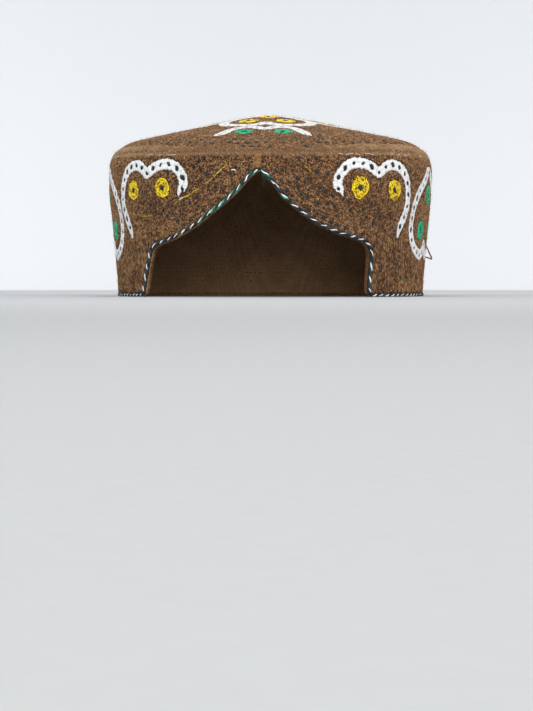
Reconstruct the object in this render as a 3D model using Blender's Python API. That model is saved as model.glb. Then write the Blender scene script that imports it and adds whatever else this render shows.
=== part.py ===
"""A close-fitting embroidered cap: an upright side band with an arch cut out over the forehead, a low domed
top panel sewn to the band's upper edge, and a cord sewn round the rim and the arch.

Metres, +Z up. The rim rests on z = 0, the cap's long axis is Y and the arch faces -Y.
A place on the side band is given by two numbers, as on the band's flat paper pattern:
  arc     distance round the band from the middle of the front, positive towards +X
  height  distance above the rim
"""

import math

import bmesh
import bpy
from mathutils import Vector
from mathutils.geometry import delaunay_2d_cdt

RIM_HALF_WIDTH = 0.0805
RIM_HALF_LENGTH = 0.0985
# The cord stands proud of the front only, so the ellipse sits this far back to centre the cap's box.
MIDDLE_Y = 0.0006
WALL = 0.0026
SEAM_HEIGHT = 0.0725
SEAM_DIP_FRONT = 0.0035
SEAM_GAP = 0.0003

# How far the band's outer face stands out from the rim's ellipse, by height.
BAND_SECTION = (
    # height, outset
    (0.000, 0.0000),
    (0.004, 0.0007),
    (0.010, 0.0010),
    (0.022, 0.0021),
    (0.034, 0.0030),
    (0.047, 0.0045),
    (0.056, 0.0051),
    (0.064, 0.0054),
    (0.069, 0.0050),
    (0.0725, 0.0042),
)

# The top panel from its middle to the seam: share of the seam's half-axes, and height there.
TOP_SECTION = (
    # share, height
    (0.000, 0.0958),
    (0.100, 0.0954),
    (0.200, 0.0939),
    (0.400, 0.0902),
    (0.550, 0.0872),
    (0.700, 0.0844),
    (0.820, 0.0821),
    (0.900, 0.0800),
    (0.955, 0.0773),
    (0.988, 0.0748),
    (1.000, 0.0725),
)

# The arch's cut line, from the peak out and down each flap's front edge to the rim.
ARCH_LEFT = (
    # arc, height
    (0.0000, 0.0612),
    (-0.0043, 0.0584),
    (-0.0099, 0.0523),
    (-0.0168, 0.0460),
    (-0.0254, 0.0400),
    (-0.0348, 0.0341),
    (-0.0467, 0.0289),
    (-0.0568, 0.0263),
    (-0.0630, 0.0242),
    (-0.0659, 0.0202),
    (-0.0688, 0.0145),
    (-0.0717, 0.0078),
    (-0.0733, 0.0037),
    (-0.0755, 0.0009),
    (-0.0790, 0.0000),
)
ARCH_RIGHT = (
    # arc, height
    (0.0000, 0.0612),
    (0.0046, 0.0564),
    (0.0100, 0.0493),
    (0.0155, 0.0440),
    (0.0237, 0.0382),
    (0.0310, 0.0342),
    (0.0416, 0.0305),
    (0.0500, 0.0286),
    (0.0562, 0.0268),
    (0.0598, 0.0238),
    (0.0609, 0.0195),
    (0.0606, 0.0110),
    (0.0604, 0.0050),
    (0.0614, 0.0014),
    (0.0645, 0.0000),
)

# The hem: the outer face turns in towards the cut line, which leaves a flat edge for the rim to stand on.
HEM_ROWS = (
    # distance in from the cut line, depth below the outer face
    (0.0000, 0.0015),
    (0.0012, 0.0009),
    (0.0026, 0.0000),
)

CORD_RADIUS = 0.0009
CORD_SIDES = 8
CORD_FROM_CUT_LINE = 0.00095
CORD_OUT_OF_FACE = 0.0004
CORD_END_CLEARANCE = 0.0018

ARC_STEP = 0.0066
CUT_LINE_STEP = 0.0030
CORD_STEP = 0.0042
PATTERN_ROWS = 9
TOP_COLUMNS = 72
ARC_MEASURE_HEIGHT = 0.040
MERGE = 1.0e-5

CLOTH_BROWN = (0.160, 0.090, 0.048, 1.0)
CLOTH_BROWN_LIGHT = (0.190, 0.112, 0.060, 1.0)
CORD_NAVY = (0.030, 0.038, 0.050, 1.0)
CLOTH_ROUGHNESS = 0.92
CORD_ROUGHNESS = 0.75


def interpolate(table, x):
    """The value at x on a smooth curve through the table's rows, which go up in x."""
    if x <= table[0][0]:
        return table[0][1]
    if x >= table[-1][0]:
        return table[-1][1]
    i = max(k for k in range(len(table) - 1) if table[k][0] <= x)
    (x0, y0), (x1, y1) = table[i], table[i + 1]
    slope = (y1 - y0) / (x1 - x0)
    before = (y0 - table[i - 1][1]) / (x0 - table[i - 1][0]) if i > 0 else slope
    after = (table[i + 2][1] - y1) / (table[i + 2][0] - x1) if i + 2 < len(table) else slope
    m0 = (before + slope) / 2 if before * slope > 0 else 0.0
    m1 = (after + slope) / 2 if after * slope > 0 else 0.0
    s = (x - x0) / (x1 - x0)
    span = x1 - x0
    rise = (1 + 2 * s) * (1 - s) ** 2 * y0 + s * s * (3 - 2 * s) * y1
    return rise + s * (1 - s) ** 2 * span * m0 - s * s * (1 - s) * span * m1


def smoothstep(x):
    """0 below 0, 1 above 1, and a soft S between them."""
    x = min(1.0, max(0.0, x))
    return x * x * (3 - 2 * x)


def seam_height(angle):
    """Height of the seam between band and top panel, a little lower at the front. Angle 0 is the front."""
    return SEAM_HEIGHT - SEAM_DIP_FRONT * max(0.0, math.cos(angle)) ** 2


def band_point(angle, height, depth):
    """The point of the side band at this angle and height, at this depth below its outer face."""
    outset = interpolate(BAND_SECTION, height)
    half_width = RIM_HALF_WIDTH + outset
    half_length = RIM_HALF_LENGTH + outset
    outward = Vector((math.sin(angle) / half_width, -math.cos(angle) / half_length, 0.0)).normalized()
    across, along = half_width * math.sin(angle), MIDDLE_Y - half_length * math.cos(angle)
    return Vector((across, along, height)) - outward * depth


def arc_lengths(steps=2880):
    """Rows of (arc, angle) from the middle of the back round the front to the back, at the measuring height."""
    outset = interpolate(BAND_SECTION, ARC_MEASURE_HEIGHT)
    half_width = RIM_HALF_WIDTH + outset
    half_length = RIM_HALF_LENGTH + outset
    step = 2 * math.pi / steps
    rows = []
    arc = 0.0
    for i in range(steps + 1):
        angle = -math.pi + i * step
        rows.append((arc, angle))
        middle = angle + step / 2
        arc += step * math.hypot(half_width * math.cos(middle), half_length * math.sin(middle))
    half = rows[-1][0] / 2
    return [(row[0] - half, row[1]) for row in rows]


ARC_TABLE = arc_lengths()
HALF_ARC = ARC_TABLE[-1][0]


def angle_at(arc):
    """The angle round the cap at this arc, from -pi at the back to pi at the back."""
    share = (arc + HALF_ARC) / (2 * HALF_ARC)
    low = min(len(ARC_TABLE) - 2, max(0, int(share * (len(ARC_TABLE) - 1)) - 60))
    while low < len(ARC_TABLE) - 2 and ARC_TABLE[low + 1][0] < arc:
        low += 1
    (a0, t0), (a1, t1) = ARC_TABLE[low], ARC_TABLE[low + 1]
    return t0 + (t1 - t0) * (arc - a0) / (a1 - a0)


def pattern_point(arc, height, depth):
    """The point of the side band for a place on its flat pattern."""
    return band_point(angle_at(arc), height, depth)


def smooth_line(points, step):
    """Points about step apart on a smooth curve through the given ones, which it keeps as its ends."""
    line = [Vector(p) for p in points]
    first = 2 * line[0] - line[1]
    last = 2 * line[-1] - line[-2]
    knots = [first, *line, last]
    made = [line[0]]
    for a, b, c, d in zip(knots, knots[1:], knots[2:], knots[3:]):
        pieces = max(1, round((c - b).length / step))
        for k in range(1, pieces + 1):
            s = k / pieces
            made.append(
                0.5
                * (
                    2 * b
                    + (c - a) * s
                    + (2 * a - 5 * b + 4 * c - d) * s * s
                    + (3 * b - a - 3 * c + d) * s * s * s
                )
            )
    return made


def rim_run(start, end, step):
    """Evenly spaced pattern points along the rim between two arcs, with both ends."""
    pieces = max(1, math.ceil(abs(end - start) / step))
    return [Vector((start + (end - start) * k / pieces, 0.0)) for k in range(pieces + 1)]


def cut_line(arch_step, rim_step):
    """The band's lower edge on the flat pattern, from the back at -X round the arch to the back at +X."""
    left = smooth_line(ARCH_LEFT, arch_step)[::-1]
    right = smooth_line(ARCH_RIGHT, arch_step)
    back_left = rim_run(-HALF_ARC, left[0].x, rim_step)[:-1]
    back_right = rim_run(right[-1].x, HALF_ARC, rim_step)[1:]
    return back_left + left + right[1:] + back_right


def offset_line(line, distance):
    """The line moved up into the cloth by distance, square to itself. Its ends stay at the back."""
    moved = []
    for i, point in enumerate(line):
        before = line[max(0, i - 1)]
        after = line[min(len(line) - 1, i + 1)]
        along = (after - before).normalized()
        moved.append(point + Vector((-along.y, along.x)) * distance)
    return moved


def inside_margin(point, line, margin):
    """True if a pattern point lies above the line by more than margin."""
    for a, b in zip(line, line[1:]):
        along = b - a
        s = max(0.0, min(1.0, (point - a).dot(along) / along.length_squared))
        if (point - (a + along * s)).length < margin:
            return False
    arc = max(line[0].x + MERGE, min(line[-1].x - MERGE, point.x))
    crossings = 0
    for a, b in zip(line, line[1:]):
        if (a.x <= arc) != (b.x <= arc):
            height = a.y + (b.y - a.y) * (arc - a.x) / (b.x - a.x)
            crossings += height < point.y
    return crossings % 2 == 1


def band_pattern():
    """The flat pattern as (points, depths, faces): hem rows first, then the field up to the seam."""
    line = cut_line(CUT_LINE_STEP, ARC_STEP)
    rows = [offset_line(line, distance) for distance, _ in HEM_ROWS]
    points = [p for row in rows for p in row]
    depths = [depth for _, depth in HEM_ROWS for _ in line]
    count = len(line)
    faces = []
    for r in range(len(rows) - 1):
        for i in range(count - 1):
            low, high = r * count + i, (r + 1) * count + i
            faces.append((low, low + 1, high + 1, high))
    hem_top = rows[-1]
    columns = round(2 * HALF_ARC / ARC_STEP)
    field = []
    for c in range(columns + 1):
        arc = -HALF_ARC + 2 * HALF_ARC * c / columns
        top = seam_height(angle_at(arc)) - SEAM_GAP / 2
        for r in range(1, PATTERN_ROWS + 1):
            place = Vector((arc, top * r / PATTERN_ROWS))
            if r == PATTERN_ROWS or inside_margin(place, hem_top, ARC_STEP * 0.42):
                field.append((place, r))
    flat = list(hem_top) + [place for place, _ in field]
    start = (len(rows) - 1) * count
    seam_run = [count + k for k, (_, r) in enumerate(field) if r == PATTERN_ROWS]
    left_side = [0] + [count + k for k, (p, _) in enumerate(field) if p.x <= -HALF_ARC + MERGE]
    right_side = [count - 1] + [count + k for k, (p, _) in enumerate(field) if p.x >= HALF_ARC - MERGE]
    outline = list(range(count)) + right_side[1:] + seam_run[::-1][1:] + left_side[::-1][1:-1]
    edges = list(zip(outline, outline[1:] + outline[:1]))
    found = delaunay_2d_cdt(flat, edges, [], 1, MERGE / 10)
    own = [origin[0] for origin in found[3]]
    new_points = points + [place for place, _ in field]
    new_depths = depths + [0.0] * len(field)
    for face in found[2]:
        faces.append(tuple(start + own[k] if own[k] < count else len(points) + own[k] - count for k in face))
    return new_points, new_depths, faces


def open_edges(faces):
    """The directed edges that only one face uses."""
    used = {}
    for face in faces:
        for a, b in zip(face, face[1:] + face[:1]):
            used[(a, b)] = used.get((a, b), 0) + 1
    return [edge for edge in used if (edge[1], edge[0]) not in used]


def closed_sheet(name, outer, inner, faces, colour, roughness):
    """An object with the outer points' faces, the inner points' faces turned round, and a strip round each edge."""
    mesh = bpy.data.meshes.new(name)
    count = len(outer)
    back = [tuple(count + k for k in face[::-1]) for face in faces]
    strips = [(b, a, count + a, count + b) for a, b in open_edges(faces)]
    mesh.from_pydata([*outer, *inner], [], [*faces, *back, *strips])
    mesh.update()
    return finish_object(name, mesh, colour, roughness)


def finish_object(name, mesh, colour, roughness):
    """Links the mesh as an object with its own material, closed, facing outwards and shaded smooth."""
    work = bmesh.new()
    work.from_mesh(mesh)
    bmesh.ops.remove_doubles(work, verts=work.verts, dist=MERGE)
    bmesh.ops.triangulate(work, faces=[f for f in work.faces if len(f.verts) > 3])
    bmesh.ops.recalc_face_normals(work, faces=work.faces)
    work.to_mesh(mesh)
    work.free()
    mesh.shade_smooth()
    mesh.set_sharp_from_angle(angle=math.radians(40))
    material = bpy.data.materials.new(name)
    material.use_nodes = True
    shader = material.node_tree.nodes["Principled BSDF"]
    shader.inputs["Base Color"].default_value = colour
    shader.inputs["Roughness"].default_value = roughness
    shader.inputs["Metallic"].default_value = 0.0
    mesh.materials.append(material)
    made = bpy.data.objects.new(name, mesh)
    bpy.context.scene.collection.objects.link(made)
    return made


def make_side_band():
    """The upright wall, with the arch left out and the hem turned in along its lower edge."""
    points, depths, faces = band_pattern()
    outer = [pattern_point(p.x, p.y, depth) for p, depth in zip(points, depths)]
    inner = [pattern_point(p.x, p.y, WALL) for p in points]
    middle_of_back = -HALF_ARC + MERGE
    same = {}
    for i, p in enumerate(points):
        if p.x > HALF_ARC - MERGE:
            same[i] = min(
                (k for k, q in enumerate(points) if q.x < middle_of_back and depths[k] == depths[i]),
                key=lambda k, height=p.y: abs(points[k].y - height),
            )
    joined = [tuple(same.get(k, k) for k in face) for face in faces]
    return closed_sheet("side_band", outer, inner, joined, CLOTH_BROWN, CLOTH_ROUGHNESS)


def top_point(angle, share, depth):
    """The point of the top panel at this share of its half-axes, at this depth below its outer face."""
    outset = interpolate(BAND_SECTION, SEAM_HEIGHT)
    half_width = RIM_HALF_WIDTH + outset
    half_length = RIM_HALF_LENGTH + outset
    dip = seam_height(angle) - SEAM_HEIGHT
    rise = interpolate(TOP_SECTION, share) + dip * smoothstep((share - 0.3) / 0.7) + SEAM_GAP / 2
    reach = math.hypot(half_width * math.sin(angle), half_length * math.cos(angle))
    near = 0.004
    inner_share, outer_share = max(0.0, share - near), min(1.0, share + near)
    fall = interpolate(TOP_SECTION, inner_share) - interpolate(TOP_SECTION, outer_share)
    run = (outer_share - inner_share) * reach
    slope = math.pi / 2 if share >= 1.0 else math.atan2(fall, run)
    outward = Vector((math.sin(angle) / half_width, -math.cos(angle) / half_length, 0.0)).normalized()
    across, along = half_width * math.sin(angle), -half_length * math.cos(angle)
    on_face = Vector((across * share, MIDDLE_Y + along * share, rise))
    if share == 0.0:
        return on_face - Vector((0.0, 0.0, depth))
    return on_face - outward * depth * math.sin(slope) - Vector((0.0, 0.0, depth * math.cos(slope)))


def top_shares():
    """Shares at which the top panel has a ring of points, closer together over the shoulder."""
    dome = [k / 9 * 0.88 for k in range(10)]
    return dome + [0.925, 0.955, 0.978, 0.992, 1.0]


def make_top_panel():
    """The domed panel with its rounded shoulder, down to the seam."""
    shares = top_shares()
    outer = [top_point(0.0, 0.0, 0.0)]
    inner = [top_point(0.0, 0.0, WALL)]
    for share in shares[1:]:
        for c in range(TOP_COLUMNS):
            angle = 2 * math.pi * c / TOP_COLUMNS
            outer.append(top_point(angle, share, 0.0))
            inner.append(top_point(angle, share, WALL))
    faces = []
    for c in range(TOP_COLUMNS):
        after = (c + 1) % TOP_COLUMNS
        faces.append((0, 1 + c, 1 + after))
        for r in range(len(shares) - 2):
            low = 1 + r * TOP_COLUMNS
            high = low + TOP_COLUMNS
            faces.append((low + c, high + c, high + after, low + after))
    return closed_sheet("top_panel", outer, inner, faces, CLOTH_BROWN_LIGHT, CLOTH_ROUGHNESS)


def cord_route():
    """The cord's centreline: from just right of the peak, round the whole edge, to just left of the peak."""
    line = offset_line(cut_line(CORD_STEP / 2, CORD_STEP), CORD_FROM_CUT_LINE)
    peak = min(range(len(line)), key=lambda i: abs(line[i].x))
    right = [p for p in line[peak + 1 :] if (p - line[peak]).length > CORD_END_CLEARANCE]
    left = [p for p in line[:peak] if (p - line[peak]).length > CORD_END_CLEARANCE]
    route = right + left[1:]
    return [pattern_point(p.x, p.y, -CORD_OUT_OF_FACE) for p in route]


def make_edge_cord():
    """The cord that binds the rim and the arch, as one round tube with its two ends at the peak."""
    route = cord_route()
    curve = bpy.data.curves.new("edge_cord", "CURVE")
    curve.dimensions = "3D"
    curve.bevel_depth = CORD_RADIUS
    curve.bevel_resolution = CORD_SIDES // 4
    curve.use_fill_caps = True
    spline = curve.splines.new("POLY")
    spline.points.add(len(route) - 1)
    for point, place in zip(spline.points, route):
        point.co = (*place, 1.0)
    material = bpy.data.materials.new("edge_cord")
    material.use_nodes = True
    shader = material.node_tree.nodes["Principled BSDF"]
    shader.inputs["Base Color"].default_value = CORD_NAVY
    shader.inputs["Roughness"].default_value = CORD_ROUGHNESS
    curve.materials.append(material)
    made = bpy.data.objects.new("edge_cord", curve)
    bpy.context.scene.collection.objects.link(made)
    return made


def main():
    for old in list(bpy.data.objects):
        bpy.data.objects.remove(old)
    make_side_band()
    make_top_panel()
    make_edge_cord()


main()
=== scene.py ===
"""Looks of the embroidered cap: its cloth, stitches, white bands, rings, eyelets, cord and loose threads.

Metres, +Z up, the arched front towards -Y. All needlework is laid out on two flat patterns, the side band's
and the top panel's, and carried from there onto the cap's form.
"""

import logging
import math
from dataclasses import dataclass, field, replace
from enum import Enum
from functools import cache, cached_property

import bmesh
import bpy
import numpy as np
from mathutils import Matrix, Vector


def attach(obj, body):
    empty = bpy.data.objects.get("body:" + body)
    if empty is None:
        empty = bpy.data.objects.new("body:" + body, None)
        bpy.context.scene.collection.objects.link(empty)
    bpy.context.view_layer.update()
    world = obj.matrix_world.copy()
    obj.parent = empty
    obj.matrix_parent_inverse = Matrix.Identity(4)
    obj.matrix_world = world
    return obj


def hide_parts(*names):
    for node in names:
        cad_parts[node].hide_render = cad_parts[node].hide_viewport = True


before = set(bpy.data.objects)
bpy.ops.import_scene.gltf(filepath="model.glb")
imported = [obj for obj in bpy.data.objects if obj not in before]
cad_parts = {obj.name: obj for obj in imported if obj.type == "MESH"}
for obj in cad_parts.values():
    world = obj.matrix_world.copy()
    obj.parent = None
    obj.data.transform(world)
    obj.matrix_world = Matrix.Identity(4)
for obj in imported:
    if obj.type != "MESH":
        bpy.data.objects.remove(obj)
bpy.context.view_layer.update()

Array = np.ndarray
Triple = tuple[float, float, float]
RGB = Triple
Table = tuple[tuple[float, float], ...]

LOG = logging.getLogger("cap")
BODY = "root"
TURN = 2 * math.pi
TINY = 1e-12
CURVE_PIECES = 12


class Slot(Enum):
    """The record's material slots."""

    BAND = "band_cloth"
    TOP = "top_cloth"
    CORD = "edge_cord"


def unit(vectors: Array) -> Array:
    """Each row made one long."""
    return vectors / np.maximum(np.linalg.norm(vectors, axis=-1, keepdims=True), TINY)


def smoothstep(x: Array | float) -> Array:
    """0 below 0, 1 above 1, and a soft S between them."""
    x = np.clip(x, 0.0, 1.0)
    return x * x * (3 - 2 * x)


def curve_values(table: Table, x: Array | float) -> Array:
    """Values at x on the smooth curve through a table's rows, the same curve as in the solids.

    Args:
        table: rows of (x, value), going up in x.
        x: where the curve is read. Outside the table it keeps its end value.

    Returns:
        One value for each x.
    """
    knots = np.array(table, float)
    slopes = np.diff(knots[:, 1]) / np.diff(knots[:, 0])
    before = np.concatenate([slopes[:1], slopes])
    after = np.concatenate([slopes, slopes[-1:]])
    tangent = np.where(before * after > 0, (before + after) / 2, 0.0)
    x = np.clip(np.asarray(x, float), knots[0, 0], knots[-1, 0])
    i = np.clip(np.searchsorted(knots[:, 0], x, side="right") - 1, 0, len(knots) - 2)
    span = knots[i + 1, 0] - knots[i, 0]
    s = (x - knots[i, 0]) / span
    rise = (1 + 2 * s) * (1 - s) ** 2 * knots[i, 1] + s * s * (3 - 2 * s) * knots[i + 1, 1]
    return rise + s * (1 - s) ** 2 * span * tangent[i] - s * s * (1 - s) * span * tangent[i + 1]


def distances(line: Array) -> Array:
    """Distance along a line at each of its points."""
    return np.concatenate([[0.0], np.cumsum(np.linalg.norm(np.diff(line, axis=0), axis=1))])


def rows_at(places: Array, along: Array, rows: Array) -> Array:
    """Rows of values read at places between those that along gives."""
    return np.stack([np.interp(places, along, rows[:, k]) for k in range(rows.shape[1])], -1)


def left_of(direction: Array) -> Array:
    """Directions on a flat pattern, turned a quarter to their left."""
    return np.stack([-direction[:, 1], direction[:, 0]], -1)


def headings(line: Array) -> Array:
    """The line's own direction at each of its points, one long."""
    return unit(np.gradient(line, axis=0))


def evenly(line: Array, step: float) -> Array:
    """A line's points set the same distance apart.

    Args:
        line: the points.
        step: the distance wanted, kept as closely as whole steps allow.

    Returns:
        The new points, with both ends kept.
    """
    along = distances(line)
    places = np.linspace(0.0, along[-1], max(2, round(along[-1] / step) + 1))
    return rows_at(places, along, line)


def smooth_line(points: Table | Array, step: float) -> Array:
    """A smooth curve through the given points.

    Args:
        points: the places that the curve passes, in order.
        step: distance between the points returned.

    Returns:
        Points step apart, the first and last as given.
    """
    given = np.array(points, float)
    knots = np.concatenate([[2 * given[0] - given[1]], given, [2 * given[-1] - given[-2]]])
    s = np.linspace(0.0, 1.0, CURVE_PIECES, endpoint=False)[:, None]
    made = []
    for a, b, c, d in zip(knots, knots[1:], knots[2:], knots[3:]):
        eased = 2 * b + (c - a) * s + (2 * a - 5 * b + 4 * c - d) * s**2
        made.append(0.5 * (eased + (3 * b - a - 3 * c + d) * s**3))
    return evenly(np.concatenate([*made, given[-1:]]), step)


def nearest(places: Array, targets: Array, chunk: int = 3000) -> tuple[Array, Array]:
    """The nearest target to each place.

    Args:
        places: rows of places.
        targets: rows of targets.
        chunk: how many places are compared at a time.

    Returns:
        Distance from each place to its nearest target, and that target's index.
    """
    far, index = np.empty(len(places)), np.empty(len(places), int)
    for start in range(0, len(places), chunk):
        part = places[start : start + chunk]
        squared = ((part[:, None, :] - targets[None, :, :]) ** 2).sum(-1)
        index[start : start + chunk] = squared.argmin(1)
        far[start : start + chunk] = np.sqrt(squared.min(1))
    return far, index


def mottle(places: Array, size: float, seed: int) -> Array:
    """Soft blotches, the same for the same place and seed.

    Args:
        places: rows of places, flat or in space.
        size: about how far across a blotch is.
        seed: of the blotches.

    Returns:
        A value from 0 to 1 at each place.
    """
    octaves, waves, finer, fainter, full_swing = 3, 4, 1.9, 1.6, 9.0
    rng = np.random.default_rng(seed)
    total = np.zeros(len(places))
    for octave in range(octaves):
        for _ in range(waves):
            wave = unit(rng.normal(size=places.shape[1])) * TURN / size * finer**octave
            total += np.sin(places @ wave + rng.uniform(0, TURN)) / fainter**octave
    return np.clip(0.5 + total / full_swing, 0.0, 1.0)


@dataclass(frozen=True)
class CapForm:
    """The cap's form, from the same sizes as its solids."""

    rim_half_width: float = 0.0805
    rim_half_length: float = 0.0985
    middle_y: float = 0.0006
    wall: float = 0.0026
    seam_height: float = 0.0725
    seam_dip_front: float = 0.0035
    seam_dip_from: float = 0.3
    seam_dip_over: float = 0.7
    measure_height: float = 0.040
    arc_steps: int = 2880
    band_section: Table = (
        # height, outset from the rim's ellipse
        (0.000, 0.0000), (0.004, 0.0007), (0.010, 0.0010), (0.022, 0.0021), (0.034, 0.0030),
        (0.047, 0.0045), (0.056, 0.0051), (0.064, 0.0054), (0.069, 0.0050), (0.0725, 0.0042),
    )
    top_section: Table = (
        # share of the seam's half-axes, height
        (0.000, 0.0958), (0.100, 0.0954), (0.200, 0.0939), (0.400, 0.0902), (0.550, 0.0872),
        (0.700, 0.0844), (0.820, 0.0821), (0.900, 0.0800), (0.955, 0.0773), (0.988, 0.0748),
        (1.000, 0.0725),
    )
    arch_left: Table = (
        # arc from the middle of the front, height
        (0.0000, 0.0612), (-0.0043, 0.0584), (-0.0099, 0.0523), (-0.0168, 0.0460), (-0.0254, 0.0400),
        (-0.0348, 0.0341), (-0.0467, 0.0289), (-0.0568, 0.0263), (-0.0630, 0.0242), (-0.0659, 0.0202),
        (-0.0688, 0.0145), (-0.0717, 0.0078), (-0.0733, 0.0037), (-0.0755, 0.0009), (-0.0790, 0.0000),
    )
    arch_right: Table = (
        # arc from the middle of the front, height
        (0.0000, 0.0612), (0.0046, 0.0564), (0.0100, 0.0493), (0.0155, 0.0440), (0.0237, 0.0382),
        (0.0310, 0.0342), (0.0416, 0.0305), (0.0500, 0.0286), (0.0562, 0.0268), (0.0598, 0.0238),
        (0.0609, 0.0195), (0.0606, 0.0110), (0.0604, 0.0050), (0.0614, 0.0014), (0.0645, 0.0000),
    )

    @cached_property
    def arc_table(self) -> tuple[Array, Array]:
        """Where each angle round the cap comes on the unrolled band.

        Returns:
            Arcs and angles, both rising from the back through 0 at the front.
        """
        outset = float(curve_values(self.band_section, self.measure_height))
        width, length = self.rim_half_width + outset, self.rim_half_length + outset
        angles = np.linspace(-math.pi, math.pi, self.arc_steps + 1)
        middles = (angles[1:] + angles[:-1]) / 2
        steps = np.hypot(width * np.cos(middles), length * np.sin(middles)) * np.diff(angles)
        arcs = np.concatenate([[0.0], np.cumsum(steps)])
        return arcs - arcs[-1] / 2, angles

    @property
    def half_arc(self) -> float:
        """Distance round the band from the middle of the front to the middle of the back."""
        return float(self.arc_table[0][-1])

    def wrapped(self, arc: Array) -> Array:
        """Arcs brought back into one turn round the band."""
        return (arc + self.half_arc) % (2 * self.half_arc) - self.half_arc

    def angle(self, arc: Array) -> Array:
        """The angle round the cap at each arc. Angle 0 is the front."""
        return np.interp(self.wrapped(arc), *self.arc_table)

    def seam(self, angle: Array) -> Array:
        """Height of the seam between band and top panel."""
        return self.seam_height - self.seam_dip_front * np.maximum(np.cos(angle), 0.0) ** 2

    def band(self, arc: Array, height: Array) -> Array:
        """Points of the side band's outer face.

        Args:
            arc: distance round the band from the middle of the front.
            height: height above the rim.

        Returns:
            A point for each place.
        """
        angle = self.angle(arc)
        outset = curve_values(self.band_section, height)
        across = (self.rim_half_width + outset) * np.sin(angle)
        along = self.middle_y - (self.rim_half_length + outset) * np.cos(angle)
        return np.stack([across, along, height + np.zeros_like(across)], -1)

    @property
    def top_half_axes(self) -> Array:
        """Half-width and half-length of the top panel at its seam."""
        outset = float(curve_values(self.band_section, self.seam_height))
        return np.array([self.rim_half_width + outset, self.rim_half_length + outset])

    def top(self, across: Array, along: Array) -> Array:
        """Points of the top panel's outer face.

        Args:
            across: place across the panel's plan.
            along: place along it.

        Returns:
            A point above each place.
        """
        half = self.top_half_axes
        share = np.hypot(across / half[0], along / half[1])
        angle = np.arctan2(across / half[0], -along / half[1])
        lowered = smoothstep((share - self.seam_dip_from) / self.seam_dip_over)
        height = curve_values(self.top_section, share) + (self.seam(angle) - self.seam_height) * lowered
        return np.stack([across, along + self.middle_y, height], -1)

    def cut_line(self, step: float) -> Array:
        """The band's lower edge on the flat pattern.

        Args:
            step: distance between its points.

        Returns:
            Points from the back, round the arch, to the back again.
        """
        left = smooth_line(self.arch_left, step)[::-1]
        right = smooth_line(self.arch_right, step)
        start, end = np.array([[-self.half_arc, 0.0]]), np.array([[self.half_arc, 0.0]])
        return evenly(np.concatenate([start, left, right[1:], end]), step)


@dataclass
class Pattern:
    """A flat pattern that part of the cap's surface is laid out on."""

    form: CapForm
    nudge: float = 0.0002

    def surface(self, flat: Array) -> Array:
        """Points of the outer face for places on the pattern."""
        raise NotImplementedError

    def axes(self, flat: Array) -> tuple[Array, Array, Array]:
        """The cloth's own directions at places on the pattern.

        Args:
            flat: the places.

        Returns:
            Unit vectors along the pattern's first axis, up its second, and out of the cloth.
        """
        across = self.surface(flat + [self.nudge, 0.0]) - self.surface(flat - [self.nudge, 0.0])
        up = self.surface(flat + [0.0, self.nudge]) - self.surface(flat - [0.0, self.nudge])
        out = unit(np.cross(across, up))
        across = unit(across)
        return across, np.cross(out, across), out

    def heading(self, flat: Array, direction: Array) -> tuple[Array, Array]:
        """A direction on the pattern as one on the cap.

        Args:
            flat: places on the pattern.
            direction: a direction on the pattern at each place.

        Returns:
            The unit vector along that direction, and the one out of the cloth.
        """
        out = self.axes(flat)[2]
        step = unit(direction) * self.nudge
        along = unit(self.surface(flat + step) - self.surface(flat - step))
        return along, out

    def lifted(self, flat: Array, lift: Array | float) -> Array:
        """Points that stand off the outer face by lift."""
        return self.surface(flat) + self.axes(flat)[2] * np.reshape(lift, (-1, 1))


class BandPattern(Pattern):
    """The side band laid flat: distance round from the middle of the front, and height above the rim."""

    def surface(self, flat: Array) -> Array:
        """Points of the band for (arc, height)."""
        return self.form.band(flat[:, 0], flat[:, 1])


class TopPattern(Pattern):
    """The top panel's plan: places across and along the cap, seen from above."""

    def surface(self, flat: Array) -> Array:
        """Points of the top panel for (across, along)."""
        return self.form.top(flat[:, 0], flat[:, 1])


@dataclass
class Nodes:
    """A short way to write a node tree: each call adds a node, sets it and links its inputs."""

    tree: bpy.types.NodeTree

    def feed(self, node: bpy.types.Node, inputs: dict) -> None:
        """Sets or links a node's inputs.

        Args:
            node: the node.
            inputs: input name or index to a value, or to the output socket that feeds it.
        """
        for key, value in inputs.items():
            if isinstance(value, bpy.types.NodeSocket):
                self.tree.links.new(value, node.inputs[key])
            else:
                node.inputs[key].default_value = value

    def add(self, kind: str, inputs: dict | None = None, **settings: object) -> bpy.types.Node:
        """Adds one node.

        Args:
            kind: the node's type name.
            inputs: what its inputs get, as feed takes it.
            settings: the node's own properties.

        Returns:
            The new node.
        """
        node = self.tree.nodes.new(kind)
        for name, value in settings.items():
            setattr(node, name, value)
        self.feed(node, inputs or {})
        return node

    def out(self, kind: str, inputs: dict | None = None, **settings: object) -> bpy.types.NodeSocket:
        """Adds one node and gives its first output."""
        return self.add(kind, inputs, **settings).outputs[0]

    def math(
        self, operation: str, first: object, second: object = 0.0, clamp: bool = False
    ) -> bpy.types.NodeSocket:
        """The result of one sum."""
        return self.out("ShaderNodeMath", {0: first, 1: second}, operation=operation, use_clamp=clamp)

    def blend(self, share: object, dark: RGB, light: RGB) -> bpy.types.NodeSocket:
        """A colour between two, light where share is 1."""
        inputs = {"Factor": share, 6: (*dark, 1.0), 7: (*light, 1.0)}
        return self.add("ShaderNodeMix", inputs, data_type="RGBA").outputs[2]


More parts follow.
